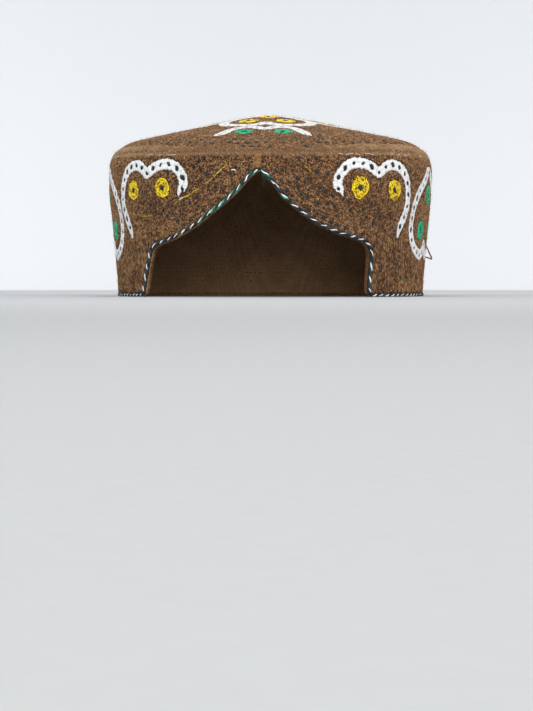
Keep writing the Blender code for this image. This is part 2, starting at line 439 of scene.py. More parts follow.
@dataclass(frozen=True)
class Finish:
    """What each finish has: a name, and the two colours that it runs between."""

    name: str
    dark: RGB
    light: RGB

    def material(self) -> bpy.types.Material:
        """The finish as a material, made once.

        Returns:
            The material.
        """
        found = bpy.data.materials.get(self.name)
        if found:
            return found
        made = bpy.data.materials.new(self.name)
        made.use_nodes = True
        self.write(Nodes(made.node_tree), made.node_tree.nodes["Principled BSDF"])
        return made

    def write(self, nodes: Nodes, shader: bpy.types.Node) -> None:
        """Writes the material's nodes, each kind of finish its own."""
        raise NotImplementedError


@dataclass(frozen=True)
class ThreadFinish(Finish):
    """Thread with a fine fibre grain. The piece's tone, 0 to 1, goes from the dark to the light colour."""

    roughness: float = 0.85
    sheen: float = 0.10
    sheen_roughness: float = 0.5
    specular: float = 0.25
    grain: float = 2600.0
    grain_detail: float = 2.0
    grain_range: tuple[float, float] = (0.3, 0.7)
    grain_depth: float = 0.00008
    grain_relief: float = 0.6
    grain_colour: float = 0.25

    def write(self, nodes: Nodes, shader: bpy.types.Node) -> None:
        """Writes a colour from the tone and the grain, and the grain's relief.

        Args:
            nodes: the material's nodes.
            shader: its shader.
        """
        place = nodes.add("ShaderNodeTexCoord").outputs["Object"]
        tone = nodes.add("ShaderNodeAttribute", attribute_name="tone").outputs["Fac"]
        fibre = nodes.add(
            "ShaderNodeTexNoise", {"Vector": place, "Scale": self.grain, "Detail": self.grain_detail}
        ).outputs["Fac"]
        low, high = self.grain_range
        grain = nodes.out("ShaderNodeMapRange", {
            "Value": fibre, "From Min": low, "From Max": high,
            "To Min": -self.grain_colour, "To Max": self.grain_colour,
        })
        relief = {"Height": fibre, "Strength": self.grain_relief, "Distance": self.grain_depth}
        nodes.feed(shader, {
            "Base Color": nodes.blend(nodes.math("ADD", tone, grain, clamp=True), self.dark, self.light),
            "Normal": nodes.out("ShaderNodeBump", relief),
            "Roughness": self.roughness,
            "Sheen Weight": self.sheen,
            "Sheen Tint": (*self.light, 1.0),
            "Sheen Roughness": self.sheen_roughness,
            "Specular IOR Level": self.specular,
        })


@dataclass(frozen=True)
class ClothFinish(Finish):
    """A plain woven cotton, with its threads crossing in relief and colour, and soft blotches."""

    threads_per_metre: float = 1500.0
    scale_for_a_thread: float = 0.314
    distortion: float = 4.0
    weave_share: float = 0.22
    weave_relief: float = 0.5
    weave_depth: float = 0.0001
    blotches: float = 90.0
    blotch_detail: float = 3.0
    colour_range: tuple[float, float] = (0.5, 1.2)
    roughness: float = 0.92
    sheen: float = 0.05
    specular: float = 0.2

    def write(self, nodes: Nodes, shader: bpy.types.Node) -> None:
        """Writes a crossed weave and blotches on the piece's own place.

        Args:
            nodes: the material's nodes.
            shader: its shader.
        """
        place = nodes.add("ShaderNodeTexCoord").outputs["Object"]
        wave = {
            "Vector": place, "Scale": self.threads_per_metre * self.scale_for_a_thread,
            "Distortion": self.distortion, "Detail Scale": self.distortion,
        }
        first, second, third = (
            nodes.add("ShaderNodeTexWave", wave, bands_direction=way).outputs["Fac"]
            for way in ("X", "Y", "Z")
        )
        weave = nodes.math("ADD", nodes.math("ADD", first, second), third)
        blotch = nodes.add(
            "ShaderNodeTexNoise", {"Vector": place, "Scale": self.blotches, "Detail": self.blotch_detail}
        ).outputs["Fac"]
        total = nodes.math("ADD", nodes.math("MULTIPLY", weave, self.weave_share), blotch)
        low, high = self.colour_range
        level = nodes.out("ShaderNodeMapRange", {"Value": total, "From Min": low, "From Max": high})
        relief = {"Height": weave, "Strength": self.weave_relief, "Distance": self.weave_depth}
        nodes.feed(shader, {
            "Base Color": nodes.blend(level, self.dark, self.light),
            "Normal": nodes.out("ShaderNodeBump", relief),
            "Roughness": self.roughness,
            "Sheen Weight": self.sheen,
            "Specular IOR Level": self.specular,
        })


BROWN_THREAD = ThreadFinish(
    "brown_thread", (0.052, 0.021, 0.010), (0.446, 0.246, 0.114), sheen=0.20, grain_colour=0.22
)
# Partly painted light: the shoulder's paler brown is its own thread and also stands in for the light from
# above that falls on it.
SHOULDER_THREAD = ThreadFinish(
    "shoulder_thread", (0.162, 0.086, 0.040), (0.450, 0.284, 0.152), sheen=0.30, grain_colour=0.22
)
WHITE_THREAD = ThreadFinish("white_thread", (0.560, 0.560, 0.580), (0.900, 0.895, 0.890), grain_colour=0.35)
YELLOW_THREAD = ThreadFinish(
    "yellow_thread", (0.280, 0.110, 0.004), (0.980, 0.770, 0.040), roughness=0.6, grain_colour=0.12
)
GREEN_THREAD = ThreadFinish(
    "green_thread", (0.003, 0.090, 0.050), (0.025, 0.560, 0.300), roughness=0.6, grain_colour=0.15
)
NAVY_THREAD = ThreadFinish("navy_thread", (0.006, 0.009, 0.012), (0.062, 0.080, 0.090))
TAN_THREAD = ThreadFinish("tan_thread", (0.110, 0.052, 0.020), (0.500, 0.275, 0.110))
GROUND_CLOTH = ClothFinish("ground_cloth", (0.050, 0.019, 0.008), (0.110, 0.048, 0.022))
TOP_GROUND_CLOTH = ClothFinish("top_ground_cloth", (0.120, 0.058, 0.026), (0.210, 0.110, 0.052))
EYELET_CLOTH = ClothFinish("eyelet_cloth", (0.008, 0.014, 0.016), (0.038, 0.052, 0.056), 1800.0)
INSIDE_CLOTH = ClothFinish("inside_cloth", (0.330, 0.200, 0.105), (0.500, 0.330, 0.190), 800.0)


@dataclass
class StitchTree:
    """The Geometry Nodes tree that lays one stitch on each point of a mesh.

    Each point carries its stitch in attributes: along and out, the stitch's two directions; size, its length,
    width and rise; and tone, its colour.
    """

    inputs: tuple[tuple[str, str, float | None], ...] = (
        # name, socket, value
        ("Sides", "NodeSocketInt", 4),
        ("Rings", "NodeSocketInt", 2),
        ("Wander", "NodeSocketFloat", 0.1),
        ("Seed", "NodeSocketInt", 7),
        ("Thread", "NodeSocketMaterial", None),
    )

    def build(self) -> bpy.types.NodeTree:
        """Writes the tree.

        Returns:
            A tree with one mesh in, the named inputs, and the stitches out as a plain mesh.
        """
        tree = bpy.data.node_groups.new("stitches", "GeometryNodeTree")
        tree.interface.new_socket("Points", in_out="INPUT", socket_type="NodeSocketGeometry")
        for name, kind, value in self.inputs:
            socket = tree.interface.new_socket(name, in_out="INPUT", socket_type=kind)
            if value is not None:
                socket.default_value = value
        tree.interface.new_socket("Stitches", in_out="OUTPUT", socket_type="NodeSocketGeometry")
        nodes = Nodes(tree)
        given = nodes.add("NodeGroupInput").outputs
        ball = {"Segments": given["Sides"], "Rings": given["Rings"], "Radius": 0.5}
        shape = nodes.add("GeometryNodeMeshUVSphere", ball).outputs["Mesh"]
        lying = nodes.out("GeometryNodeTransform", {"Geometry": shape, "Rotation": (0.0, math.pi / 2, 0.0)})
        soft = nodes.out("GeometryNodeSetShadeSmooth", {"Geometry": lying, "Shade Smooth": True})
        along, out, size = (
            nodes.out("GeometryNodeInputNamedAttribute", {"Name": name}, data_type="FLOAT_VECTOR")
            for name in ("along", "out", "size")
        )
        turned = nodes.out(
            "FunctionNodeAxesToRotation", {0: out, 1: along}, primary_axis="Z", secondary_axis="X"
        )
        least = nodes.math("MULTIPLY", given["Wander"], -1.0)
        chance = nodes.add(
            "FunctionNodeRandomValue", {2: least, 3: given["Wander"], "Seed": given["Seed"]},
            data_type="FLOAT",
        )
        swing = nodes.out("ShaderNodeCombineXYZ", {"Z": chance.outputs[1]})
        swung = nodes.out("FunctionNodeEulerToRotation", {0: swing})
        facing = nodes.out("FunctionNodeRotateRotation", {0: turned, 1: swung}, rotation_space="LOCAL")
        laid = nodes.out(
            "GeometryNodeInstanceOnPoints",
            {"Points": given["Points"], "Instance": soft, "Rotation": facing, "Scale": size},
        )
        real = nodes.out("GeometryNodeRealizeInstances", {0: laid})
        nodes.add("NodeGroupOutput", {
            0: nodes.out("GeometryNodeSetMaterial", {"Geometry": real, "Material": given["Thread"]}),
        })
        return tree


@cache
def stitch_tree() -> bpy.types.NodeTree:
    """The stitch tree, written once."""
    return StitchTree().build()


@dataclass(frozen=True)
class Stitch:
    """One kind of stitch, and the least and most share of its size that each one may have."""

    length: float
    width: float
    rise: float
    least: float = 0.85
    most: float = 1.15

    def sizes(self, rng: np.random.Generator, count: int) -> Array:
        """Length, width and rise of that many stitches."""
        return np.array([self.length, self.width, self.rise]) * rng.uniform(self.least, self.most, (count, 3))


@dataclass
class StitchWork:
    """Stitches that become one piece. Lengths are in metres, and each stitch is centred on its place."""

    name: str
    finish: Finish
    slot: Slot
    sides: int = 4
    rings: int = 2
    wander: float = 0.08
    rows: list[dict[str, Array]] = field(default_factory=list)

    def add(self, places: Array, along: Array, out: Array, size: Array, tone: Array | float) -> None:
        """Adds stitches.

        Args:
            places: the middle of each stitch.
            along: the direction in which each one runs.
            out: the direction out of the cloth.
            size: length, width and rise, one row for each stitch or one for all.
            tone: colour from 0, dark, to 1, light.
        """
        count = len(places)
        size = np.broadcast_to(np.asarray(size, float), (count, 3))
        tone = np.broadcast_to(np.asarray(tone, float), (count,))
        self.rows.append({"place": places, "along": along, "out": out, "size": size, "tone": tone})

    def sew(
        self, pattern: Pattern, flat: Array, way: Array, lift: Array | float, size: Array, tone: Array | float
    ) -> None:
        """Adds stitches at places on a pattern, each along its way there and lifted off the cloth."""
        along, out = pattern.heading(flat, way)
        self.add(pattern.lifted(flat, lift), along, out, size, tone)

    def realise(self) -> bpy.types.Object:
        """Makes the piece.

        Returns:
            One plain mesh object that holds every stitch.
        """
        data = {key: np.concatenate([row[key] for row in self.rows]) for key in self.rows[0]}
        points = bpy.data.meshes.new(self.name + "_points")
        points.vertices.add(len(data["place"]))
        points.vertices.foreach_set("co", data["place"].astype(np.float32).ravel())
        for key in ("along", "out", "size"):
            layer = points.attributes.new(key, "FLOAT_VECTOR", "POINT")
            layer.data.foreach_set("vector", data[key].astype(np.float32).ravel())
        layer = points.attributes.new("tone", "FLOAT", "POINT")
        layer.data.foreach_set("value", data["tone"].astype(np.float32))
        holder = bpy.data.objects.new(self.name + "_points", points)
        bpy.context.scene.collection.objects.link(holder)
        modifier = holder.modifiers.new("stitches", "NODES")
        modifier.node_group = stitch_tree()
        sockets = {s.name: s.identifier for s in stitch_tree().interface.items_tree if s.in_out == "INPUT"}
        thread = self.finish.material()
        given = {"Sides": self.sides, "Rings": self.rings, "Wander": self.wander, "Thread": thread}
        for key, value in given.items():
            modifier[sockets[key]] = value
        bpy.context.view_layer.update()
        graph = bpy.context.evaluated_depsgraph_get()
        mesh = bpy.data.meshes.new_from_object(holder.evaluated_get(graph), depsgraph=graph)
        holder.modifiers.clear()
        bpy.data.objects.remove(holder)
        bpy.data.meshes.remove(points)
        for key in ("along", "out", "size"):
            if key in mesh.attributes:
                mesh.attributes.remove(mesh.attributes[key])
        mesh.name = self.name
        return dress(bpy.data.objects.new(self.name, mesh), self.slot)


def dress(piece: bpy.types.Object, slot: Slot, *nodes: str) -> bpy.types.Object:
    """Links a finished piece and rides it on the cap's body.

    Args:
        piece: the finished object, at the origin.
        slot: the record's material slot; not used.
        nodes: the solids that it stands for.

    Returns:
        The same piece.
    """
    if piece.name not in bpy.context.scene.collection.objects:
        bpy.context.scene.collection.objects.link(piece)
    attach(piece, BODY)
    if nodes:
        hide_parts(*nodes)
    faces = sum(len(p.vertices) - 2 for p in piece.data.polygons)
    LOG.info("%s: %d triangles", piece.name, faces)
    return piece


def mesh_object(
    name: str, points: Array, faces: list, material: bpy.types.Material, tone: Array | float = 0.5
) -> bpy.types.Object:
    """A smooth-shaded mesh object with one material and a tone at each point.

    Args:
        name: the piece's name.
        points: its vertices.
        faces: its faces, as tuples of vertex numbers.
        material: its material.
        tone: colour from 0, dark, to 1, light.

    Returns:
        The new object, not yet linked.
    """
    mesh = bpy.data.meshes.new(name)
    mesh.from_pydata(points.tolist(), [], faces)
    mesh.update()
    mesh.shade_smooth()
    layer = mesh.attributes.new("tone", "FLOAT", "POINT")
    layer.data.foreach_set("value", np.broadcast_to(np.asarray(tone, np.float32), (len(points),)).copy())
    mesh.materials.append(material)
    return bpy.data.objects.new(name, mesh)


def both(kind: str, finish: Finish, **settings: float) -> dict[Slot, StitchWork]:
    """Two pieces of one kind, the band's and the top's."""
    slots = (Slot.BAND, Slot.TOP)
    return {slot: StitchWork(f"{slot.name.lower()}_{kind}", finish, slot, **settings) for slot in slots}


@dataclass
class ThreadWork:
    """Tubes that follow lines, joined into one piece. end_share is their radius at both ends, as a share."""

    name: str
    finish: Finish
    slot: Slot
    sides: int = 6
    end_share: float = 0.35
    steep: float = 0.9
    points: list[Array] = field(default_factory=list)
    tones: list[Array] = field(default_factory=list)
    faces: list[tuple[int, ...]] = field(default_factory=list)

    def add(self, line: Array, radius: Array | float, tone: Array | float = 0.6) -> None:
        """Adds one tube with closed, narrowed ends.

        Args:
            line: the points that its middle follows.
            radius: its radius, one number or one for each point.
            tone: its colour, one number or one for each point.
        """
        count = len(line)
        along = headings(line)
        across = np.empty_like(line)
        side = np.cross(along[0], [0.0, 0.0, 1.0] if abs(along[0][2]) < self.steep else [1.0, 0.0, 0.0])
        for i in range(count):
            side = side - along[i] * (side @ along[i])
            side /= np.linalg.norm(side)
            across[i] = side
        over = np.cross(along, across)
        radius = np.broadcast_to(np.asarray(radius, float), (count,)).copy()
        tone = np.broadcast_to(np.asarray(tone, float), (count,))
        radius[[0, -1]] *= self.end_share
        turn = np.linspace(0, TURN, self.sides, endpoint=False)
        ring = across[:, None] * np.cos(turn)[None, :, None] + over[:, None] * np.sin(turn)[None, :, None]
        start = sum(len(p) for p in self.points)
        self.points.append((line[:, None] + ring * radius[:, None, None]).reshape(-1, 3))
        self.tones.append(np.repeat(tone, self.sides))
        for i in range(count - 1):
            for k in range(self.sides):
                a, b = start + i * self.sides + k, start + i * self.sides + (k + 1) % self.sides
                self.faces.append((a, b, b + self.sides, a + self.sides))
        last = start + (count - 1) * self.sides
        self.faces.append(tuple(range(start + self.sides - 1, start - 1, -1)))
        self.faces.append(tuple(range(last, last + self.sides)))

    def realise(self, *nodes: str) -> bpy.types.Object:
        """Makes the piece.

        Args:
            nodes: the solids that it stands for.

        Returns:
            One object that holds every tube.
        """
        points, tones = np.concatenate(self.points), np.concatenate(self.tones)
        made = mesh_object(self.name, points, self.faces, self.finish.material(), tones)
        return dress(made, self.slot, *nodes)


@dataclass(frozen=True)
class MotifShape:
    """A motif about its own middle: the white band's centreline, and the rings that it holds.

    ring_sizes are shares of ring_radius. pointed_side is the side of the band, 1 to the left of its way, on
    which its first end runs out to a point.
    """

    line: Table
    rings: Table
    ring_radius: float
    ring_sizes: tuple[float, ...] = (1.0, 1.0, 1.0)
    band_width: float = 0.0055
    start_taper: float = 0.0040
    end_taper: float = 0.0080
    pointed_side: int = 0


# The front motifs, right and left of the arch: two humps over two rings, and a tail down the outer side.
FRONT_RIGHT_MOTIF = MotifShape(
    line=(
        (-0.0229, 0.0496), (-0.0254, 0.0524), (-0.0259, 0.0575), (-0.0229, 0.0621), (-0.0186, 0.0651),
        (-0.0127, 0.0658), (-0.0061, 0.0643), (-0.0006, 0.0616), (0.0043, 0.0645), (0.0097, 0.0659),
        (0.0162, 0.0648), (0.0217, 0.0615), (0.0248, 0.0570), (0.0260, 0.0511), (0.0256, 0.0458),
        (0.0232, 0.0400), (0.0202, 0.0355), (0.0181, 0.0296),
    ),
    rings=((-0.0128, 0.0538), (0.0122, 0.0535)),
    ring_radius=0.0055,
    ring_sizes=(1.0, 0.95),
    start_taper=0.0052,
    pointed_side=-1,
)
FRONT_LEFT_MOTIF = MotifShape(
    line=(
        (0.0216, 0.0498), (0.0243, 0.0530), (0.0248, 0.0577), (0.0223, 0.0621), (0.0182, 0.0648),
        (0.0129, 0.0655), (0.0059, 0.0642), (-0.0002, 0.0616), (-0.0041, 0.0643), (-0.0087, 0.0659),
        (-0.0154, 0.0653), (-0.0211, 0.0622), (-0.0256, 0.0563), (-0.0270, 0.0515), (-0.0270, 0.0462),
        (-0.0245, 0.0406), (-0.0211, 0.0350), (-0.0187, 0.0296),
    ),
    rings=((0.0111, 0.0540), (-0.0133, 0.0538)),
    ring_radius=0.0055,
    ring_sizes=(0.89, 0.89),
    start_taper=0.0052,
    pointed_side=1,
)
# Half of the hanging heart: from its meeting point at the top, down the side and round one lobe to the cusp.
HEART_SIDE: Table = (
    (-0.0012, 0.0672), (-0.0045, 0.0642), (-0.0087, 0.0609), (-0.0166, 0.0556), (-0.0210, 0.0519),
    (-0.0249, 0.0471), (-0.0265, 0.0419), (-0.0271, 0.0364), (-0.0254, 0.0305), (-0.0217, 0.0260),
    (-0.0158, 0.0231), (-0.0091, 0.0216), (-0.0040, 0.0232), (0.0000, 0.0272),
)
HEART_MOTIF = MotifShape(
    line=HEART_SIDE + tuple((-x, y) for x, y in HEART_SIDE[-2::-1]),
    rings=((-0.0115, 0.0344), (0.0115, 0.0344), (-0.0005, 0.0530)),
    ring_radius=0.0052,
    end_taper=0.0060,
)
# The two hearts next to the front motifs, whose rings sit a little off the middle.
FIRST_RIGHT_HEART = replace(
    HEART_MOTIF, rings=((-0.0115, 0.0344), (0.0172, 0.0344), (-0.0005, 0.0530)), ring_sizes=(1.0, 0.90, 1.0)
)
FIRST_LEFT_HEART = replace(
    HEART_MOTIF, rings=((-0.0130, 0.0344), (0.0115, 0.0344), (-0.0072, 0.0530)), ring_sizes=(1.0, 1.0, 0.92)
)
# The motif near the top panel's edge, about the cap's middle: its second number runs outwards from there.
TOP_MOTIF = MotifShape(
    line=(
        (-0.0262, 0.0715), (-0.0232, 0.0672), (-0.0205, 0.0608), (-0.0168, 0.0552), (-0.0115, 0.0522),
        (-0.0056, 0.0530), (0.0000, 0.0572), (0.0056, 0.0530), (0.0115, 0.0522), (0.0168, 0.0552),
        (0.0205, 0.0608), (0.0232, 0.0672), (0.0262, 0.0715),
    ),
    rings=((-0.0108, 0.0655), (0.0108, 0.0655)),
    ring_radius=0.0047,
)


@dataclass
class Motif:
    """A motif in its place on a pattern."""

    pattern: Pattern
    shape: MotifShape
    ring_finish: Finish
    slot: Slot
    line: Array
    rings: Array
    scale: float = 1.0
    dense_step: float = 0.00025
    least_width: float = 0.12
    point_growth: float = 2.6
    point_least: float = 0.15
    slant_growth: float = 1.5
    slant_start: float = 0.5
    eyelet_pitch: float = 0.0056
    first_eyelet: float = 0.0042
    last_eyelet: float = 0.0062
    bend_between: tuple[float, float] = (0.2, 0.8)

    @cached_property
    def dense(self) -> Array:
        """The white band's centreline, its points dense_step apart."""
        return smooth_line(self.line, self.dense_step)

    @cached_property
    def along(self) -> Array:
        """Distance along the centreline at each dense point."""
        return distances(self.dense)

    @property
    def radii(self) -> Array:
        """Outer radius of each stitched ring."""
        return np.array(self.shape.ring_sizes[: len(self.rings)]) * self.shape.ring_radius * self.scale

    def half_width(self, along: Array) -> Array:
        """Half of the white band's width.

        Args:
            along: distances along the centreline.

        Returns:
            The half width at each distance, tapered at both ends.
        """
        start = np.sqrt(np.clip(along / self.shape.start_taper, 0.0, 1.0))
        end = np.sqrt(np.clip((self.along[-1] - along) / self.shape.end_taper, 0.0, 1.0))
        share = np.maximum(self.least_width, np.minimum(start, end))
        return self.shape.band_width / 2 * self.scale**0.5 * share

    def side_width(self, along: Array, side: float) -> Array:
        """Width of the white band on one side of its centreline.

        Args:
            along: distances along the centreline.
            side: 1 for the left of its way, -1 for the right.

        Returns:
            The width at each distance, cut away slantwise opposite a pointed end.
        """
        half = self.half_width(along)
        if not self.shape.pointed_side:
            return half
        share = along / self.shape.start_taper
        if side == self.shape.pointed_side:
            point = np.clip(share * self.point_growth, self.point_least, 1.0) * (share < 1.0)
            return np.maximum(half, self.shape.band_width / 2 * point)
        return half * np.clip(share * self.slant_growth - self.slant_start, 0.0, 1.0)

    @cached_property
    def bend(self) -> Array:
        """How sharply the centreline turns at each dense point."""
        way = headings(self.dense)
        return np.abs(np.gradient(np.unwrap(np.arctan2(way[:, 1], way[:, 0])), self.along))

    def eyelets(self) -> Array:
        """Places the band's eyelets, one of them at the sharp bend.

        Returns:
            Their distances along the centreline.
        """
        total = self.along[-1]
        low, high = self.bend_between
        inner = (self.along > low * total) & (self.along < high * total)
        cusp = float(self.along[np.where(inner, self.bend, 0.0).argmax()])
        first, last = self.first_eyelet, total - self.last_eyelet
        before = np.linspace(first, cusp, max(2, round((cusp - first) / self.eyelet_pitch) + 1))
        after = np.linspace(cusp, last, max(2, round((last - cusp) / self.eyelet_pitch) + 1))
        return np.concatenate([before, after[1:]])


@dataclass
class Motifs:
    """All motifs: front motifs and hearts on the band, and a rosette inside four edge motifs on the top."""

    form: CapForm
    front_arc: float = 0.0645
    heart_arcs: tuple[float, ...] = (0.1245, 0.1810, 0.2372)
    heart_scale: tuple[float, ...] = (1.0, 0.92, 0.90)
    heart_tip_height: float = 0.0672
    upright_height_sum: float = 0.0885
    rosette_scale: float = 0.92
    rosette_start: float = 0.0045

    def on_band(self, shape: MotifShape, arc: float, ring: Finish, scale: float, upright: bool) -> Motif:
        """One motif on the band.

        Args:
            shape: the motif.
            arc: where its middle comes.
            ring: the finish of its rings.
            scale: its width as a share of the shape's.
            upright: true if it is turned over, with its lobes at the top.

        Returns:
            The motif in its place.
        """
        carried = []
        for rows in (shape.line, shape.rings):
            flat = np.array(rows) * [scale, 1.0]
            if upright:
                flat[:, 1] = self.upright_height_sum - flat[:, 1]
            carried.append(flat + [arc, 0.0])
        return Motif(BandPattern(self.form), shape, ring, Slot.BAND, *carried)

    def on_top(self, shape: MotifShape, quarter: int, ring: Finish, heart: bool) -> Motif:
        """One motif on the top panel.

        Args:
            shape: the motif.
            quarter: quarter turns from the front.
            ring: the finish of its rings.
            heart: true for a heart of the rosette, whose tip points at the middle.

        Returns:
            The motif in its place.
        """
        stretch = self.form.top_half_axes / float(np.sqrt(np.prod(self.form.top_half_axes)))
        turn = quarter * math.pi / 2
        out = np.array([math.sin(turn), -math.cos(turn)])
        side = np.array([math.cos(turn), math.sin(turn)])
        carried = []
        for rows in (shape.line, shape.rings):
            flat = np.array(rows)
            if heart:
                flat = np.stack([flat[:, 0], self.heart_tip_height - flat[:, 1]], -1) * self.rosette_scale
                flat[:, 1] += self.rosette_start
            carried.append((flat[:, :1] * side + flat[:, 1:] * out) * stretch)
        scale = self.rosette_scale if heart else 1.0
        return Motif(TopPattern(self.form), shape, ring, Slot.TOP, *carried, scale)

    def all(self) -> list[Motif]:
        """Puts every motif in its place.

        Returns:
            The motifs, those of the band first.
        """
        made = []
        sides = ((1, FRONT_RIGHT_MOTIF, FIRST_RIGHT_HEART), (-1, FRONT_LEFT_MOTIF, FIRST_LEFT_HEART))
        for side, front, first in sides:
            made.append(self.on_band(front, side * self.front_arc, YELLOW_THREAD, 1.0, False))
            for k, arc in enumerate(self.heart_arcs):
                ring = YELLOW_THREAD if k % 2 else GREEN_THREAD
                heart = HEART_MOTIF if k else first
                made.append(self.on_band(heart, side * arc, ring, self.heart_scale[k], bool(k % 2)))
        back = self.form.half_arc
        made.append(self.on_band(HEART_MOTIF, back, YELLOW_THREAD, self.heart_scale[-1], True))
        for quarter in range(4):
            made.append(self.on_top(TOP_MOTIF, quarter, GREEN_THREAD, False))
            made.append(self.on_top(HEART_MOTIF, quarter, YELLOW_THREAD, True))
        return made


@dataclass
class Eyelet:
    """A hole in the stitching with the dark ground cloth in it."""

    place: Array
    length: float
    width: float
    direction: Array


@dataclass
class Needlework:
    """White bands, stitched rings and eyelets of the motifs."""

    motifs: list[Motif]
    seed: int = 11
    stitch_pitch: float = 0.00046
    stitch_width: float = 0.00078
    stitch_rise: float = 0.00075
    stitch_lift: float = 0.00018
    stitch_overrun: float = 1.12
    least_stitch: float = 0.0003
    past_middle: float = 0.00034
    edge_wave: float = 0.00016
    edge_wave_length: float = 0.0031
    eyelet_length: float = 0.00128
    eyelet_width: float = 0.00100
    eyelet_skew: float = 0.00045
    eyelet_rise: float = 0.00036
    eyelet_lift: float = 0.00026
    cloth_past_eyelet: float = 2.5
    ring_core: float = 0.00145
    core_on_band: tuple[float, float] = (0.00035, 0.00070)
    core_on_top: tuple[float, float] = (0.00050, 0.00100)
    core_cover: float = 2.3
    ring_rows: int = 5
    ring_pitch: float = 0.00140
    ring_stitch: Stitch = Stitch(0.0022, 0.00076, 0.00090, 0.82, 1.22)
    ring_margins: tuple[float, float] = (0.00040, 0.00045)
    ring_leans: tuple[float, float] = (-0.35, 0.50)
    ring_lift: float = 0.00022

    def __post_init__(self) -> None:
        """Starts the pieces and the random draws."""
        self.rng = np.random.default_rng(self.seed)
        self.white = both("white_stitches", WHITE_THREAD, rings=3)
        self.rings = {
            (slot, finish.name): StitchWork(
                f"{slot.name.lower()}_{finish.name}_rings", finish, slot, rings=3, wander=0.12
            )
            for slot in (Slot.BAND, Slot.TOP)
            for finish in (YELLOW_THREAD, GREEN_THREAD)
        }
        self.holes = both("motif_eyelets", EYELET_CLOTH, sides=8, wander=0.0)

    def white_band(self, motif: Motif) -> None:
        """Lays the satin stitches across one motif's band, clear of its eyelets.

        Args:
            motif: the motif.
        """
        line, along = motif.dense, motif.along
        direction = headings(line)
        slower = 1 + motif.bend[1:] * motif.shape.band_width / 2
        effort = np.concatenate([[0.0], np.cumsum(np.diff(along) * slower)])
        places = np.interp(np.arange(0.0, effort[-1], self.stitch_pitch), effort, along)
        middle = rows_at(places, along, line)
        square = unit(rows_at(places, along, left_of(direction)))
        stops = motif.eyelets()
        reach = self.rng.uniform(0.76, 1.28, (len(stops), 1)) * [self.eyelet_length, self.eyelet_width]
        skews = self.rng.uniform(-self.eyelet_skew, self.eyelet_skew, len(stops))
        for side in (1.0, -1.0):
            gap = np.full(len(places), -self.past_middle)
            for stop, skew, (long, wide) in zip(stops, skews, reach):
                inside = np.abs(places - stop - side * skew) / long
                gap = np.where(inside < 1, wide * np.sqrt(1 - np.minimum(inside, 1) ** 2), gap)
            wave = self.edge_wave * np.sin(places * TURN / self.edge_wave_length + self.rng.uniform(0, TURN))
            outer = motif.side_width(places, side) + wave + self.rng.uniform(-0.00024, 0.00020, len(places))
            keep = outer > gap + self.least_stitch
            count = keep.sum()
            centre = middle + square * (side * (outer + gap) / 2)[:, None]
            size = np.stack([
                (outer - gap)[keep] * self.stitch_overrun,
                np.full(count, self.stitch_width) * self.rng.uniform(0.9, 1.15, count),
                np.full(count, self.stitch_rise),
            ], -1)
            lift = self.stitch_lift + self.rng.uniform(0, 0.00010, count)
            mean = 0.42 if motif.slot is Slot.TOP else 0.62
            tone = np.clip(self.rng.normal(mean, 0.16, count), 0.05, 1.0)
            tone = np.where(self.rng.uniform(size=count) < 0.06, 0.0, tone)
            self.white[motif.slot].sew(motif.pattern, centre[keep], square[keep] * side, lift, size, tone)
        spots, ways = rows_at(stops, along, line), rows_at(stops, along, direction)
        size = np.concatenate([reach * self.cloth_past_eyelet, np.full((len(stops), 1), self.eyelet_rise)], 1)
        self.holes[motif.slot].sew(motif.pattern, spots, ways, self.eyelet_lift, size, 0.4)

    def stitched_ring(self, motif: Motif, centre: Array, outer: float) -> None:
        """Lays the rows of curved stitches of one ring round its dark core.

        Args:
            motif: the motif that holds the ring.
            centre: the ring's place on the pattern.
            outer: the ring's radius.
        """
        work = self.rings[(motif.slot, motif.ring_finish.name)]
        core = self.ring_core * motif.scale
        within, short = self.ring_margins
        lobes = self.rng.uniform(0, TURN, 2)
        for k, radius in enumerate(np.linspace(core + within, outer - short, self.ring_rows)):
            count = max(8, round(TURN * radius / self.ring_pitch))
            turn = np.linspace(0, TURN, count, endpoint=False) + self.rng.uniform(0, TURN)
            turn = turn + self.rng.uniform(-0.06, 0.06, count)
            swell = 0.035 * np.sin(2 * turn + lobes[0]) + 0.03 * np.sin(3 * turn + lobes[1])
            reach = radius * (1 + swell * radius / outer) + self.rng.uniform(-0.00016, 0.00016, count)
            spoke = np.stack([np.cos(turn), np.sin(turn)], -1)
            flat = centre + spoke * reach[:, None]
            tilt = self.ring_leans[k % 2] + self.rng.normal(0.0, 0.24, count)
            way = np.stack([-np.sin(turn + tilt), np.cos(turn + tilt)], -1)
            size = self.ring_stitch.sizes(self.rng, count)
            tone = np.clip(self.rng.normal(0.84, 0.14, count), 0.0, 1.0)
            tone = np.where(self.rng.uniform(size=count) < 0.32, tone * 0.22, tone)
            step = 0.00007 * k - 0.00014 if motif.slot is Slot.TOP else 0.0
            lift = self.ring_lift + step + self.rng.uniform(0, 0.00022, count)
            work.sew(motif.pattern, flat, way, lift, size, tone)
        lift, rise = self.core_on_top if motif.slot is Slot.TOP else self.core_on_band
        size = np.array([core * self.core_cover, core * self.core_cover, rise])
        self.holes[motif.slot].sew(motif.pattern, centre[None, :], np.array([[0.0, 1.0]]), lift, size, 0.35)

    def build(self) -> None:
        """Lays every motif and makes the pieces."""
        for motif in self.motifs:
            self.white_band(motif)
            for centre, radius in zip(motif.rings, motif.radii):
                self.stitched_ring(motif, centre, radius)
        for work in (*self.white.values(), *self.rings.values(), *self.holes.values()):
            work.realise()


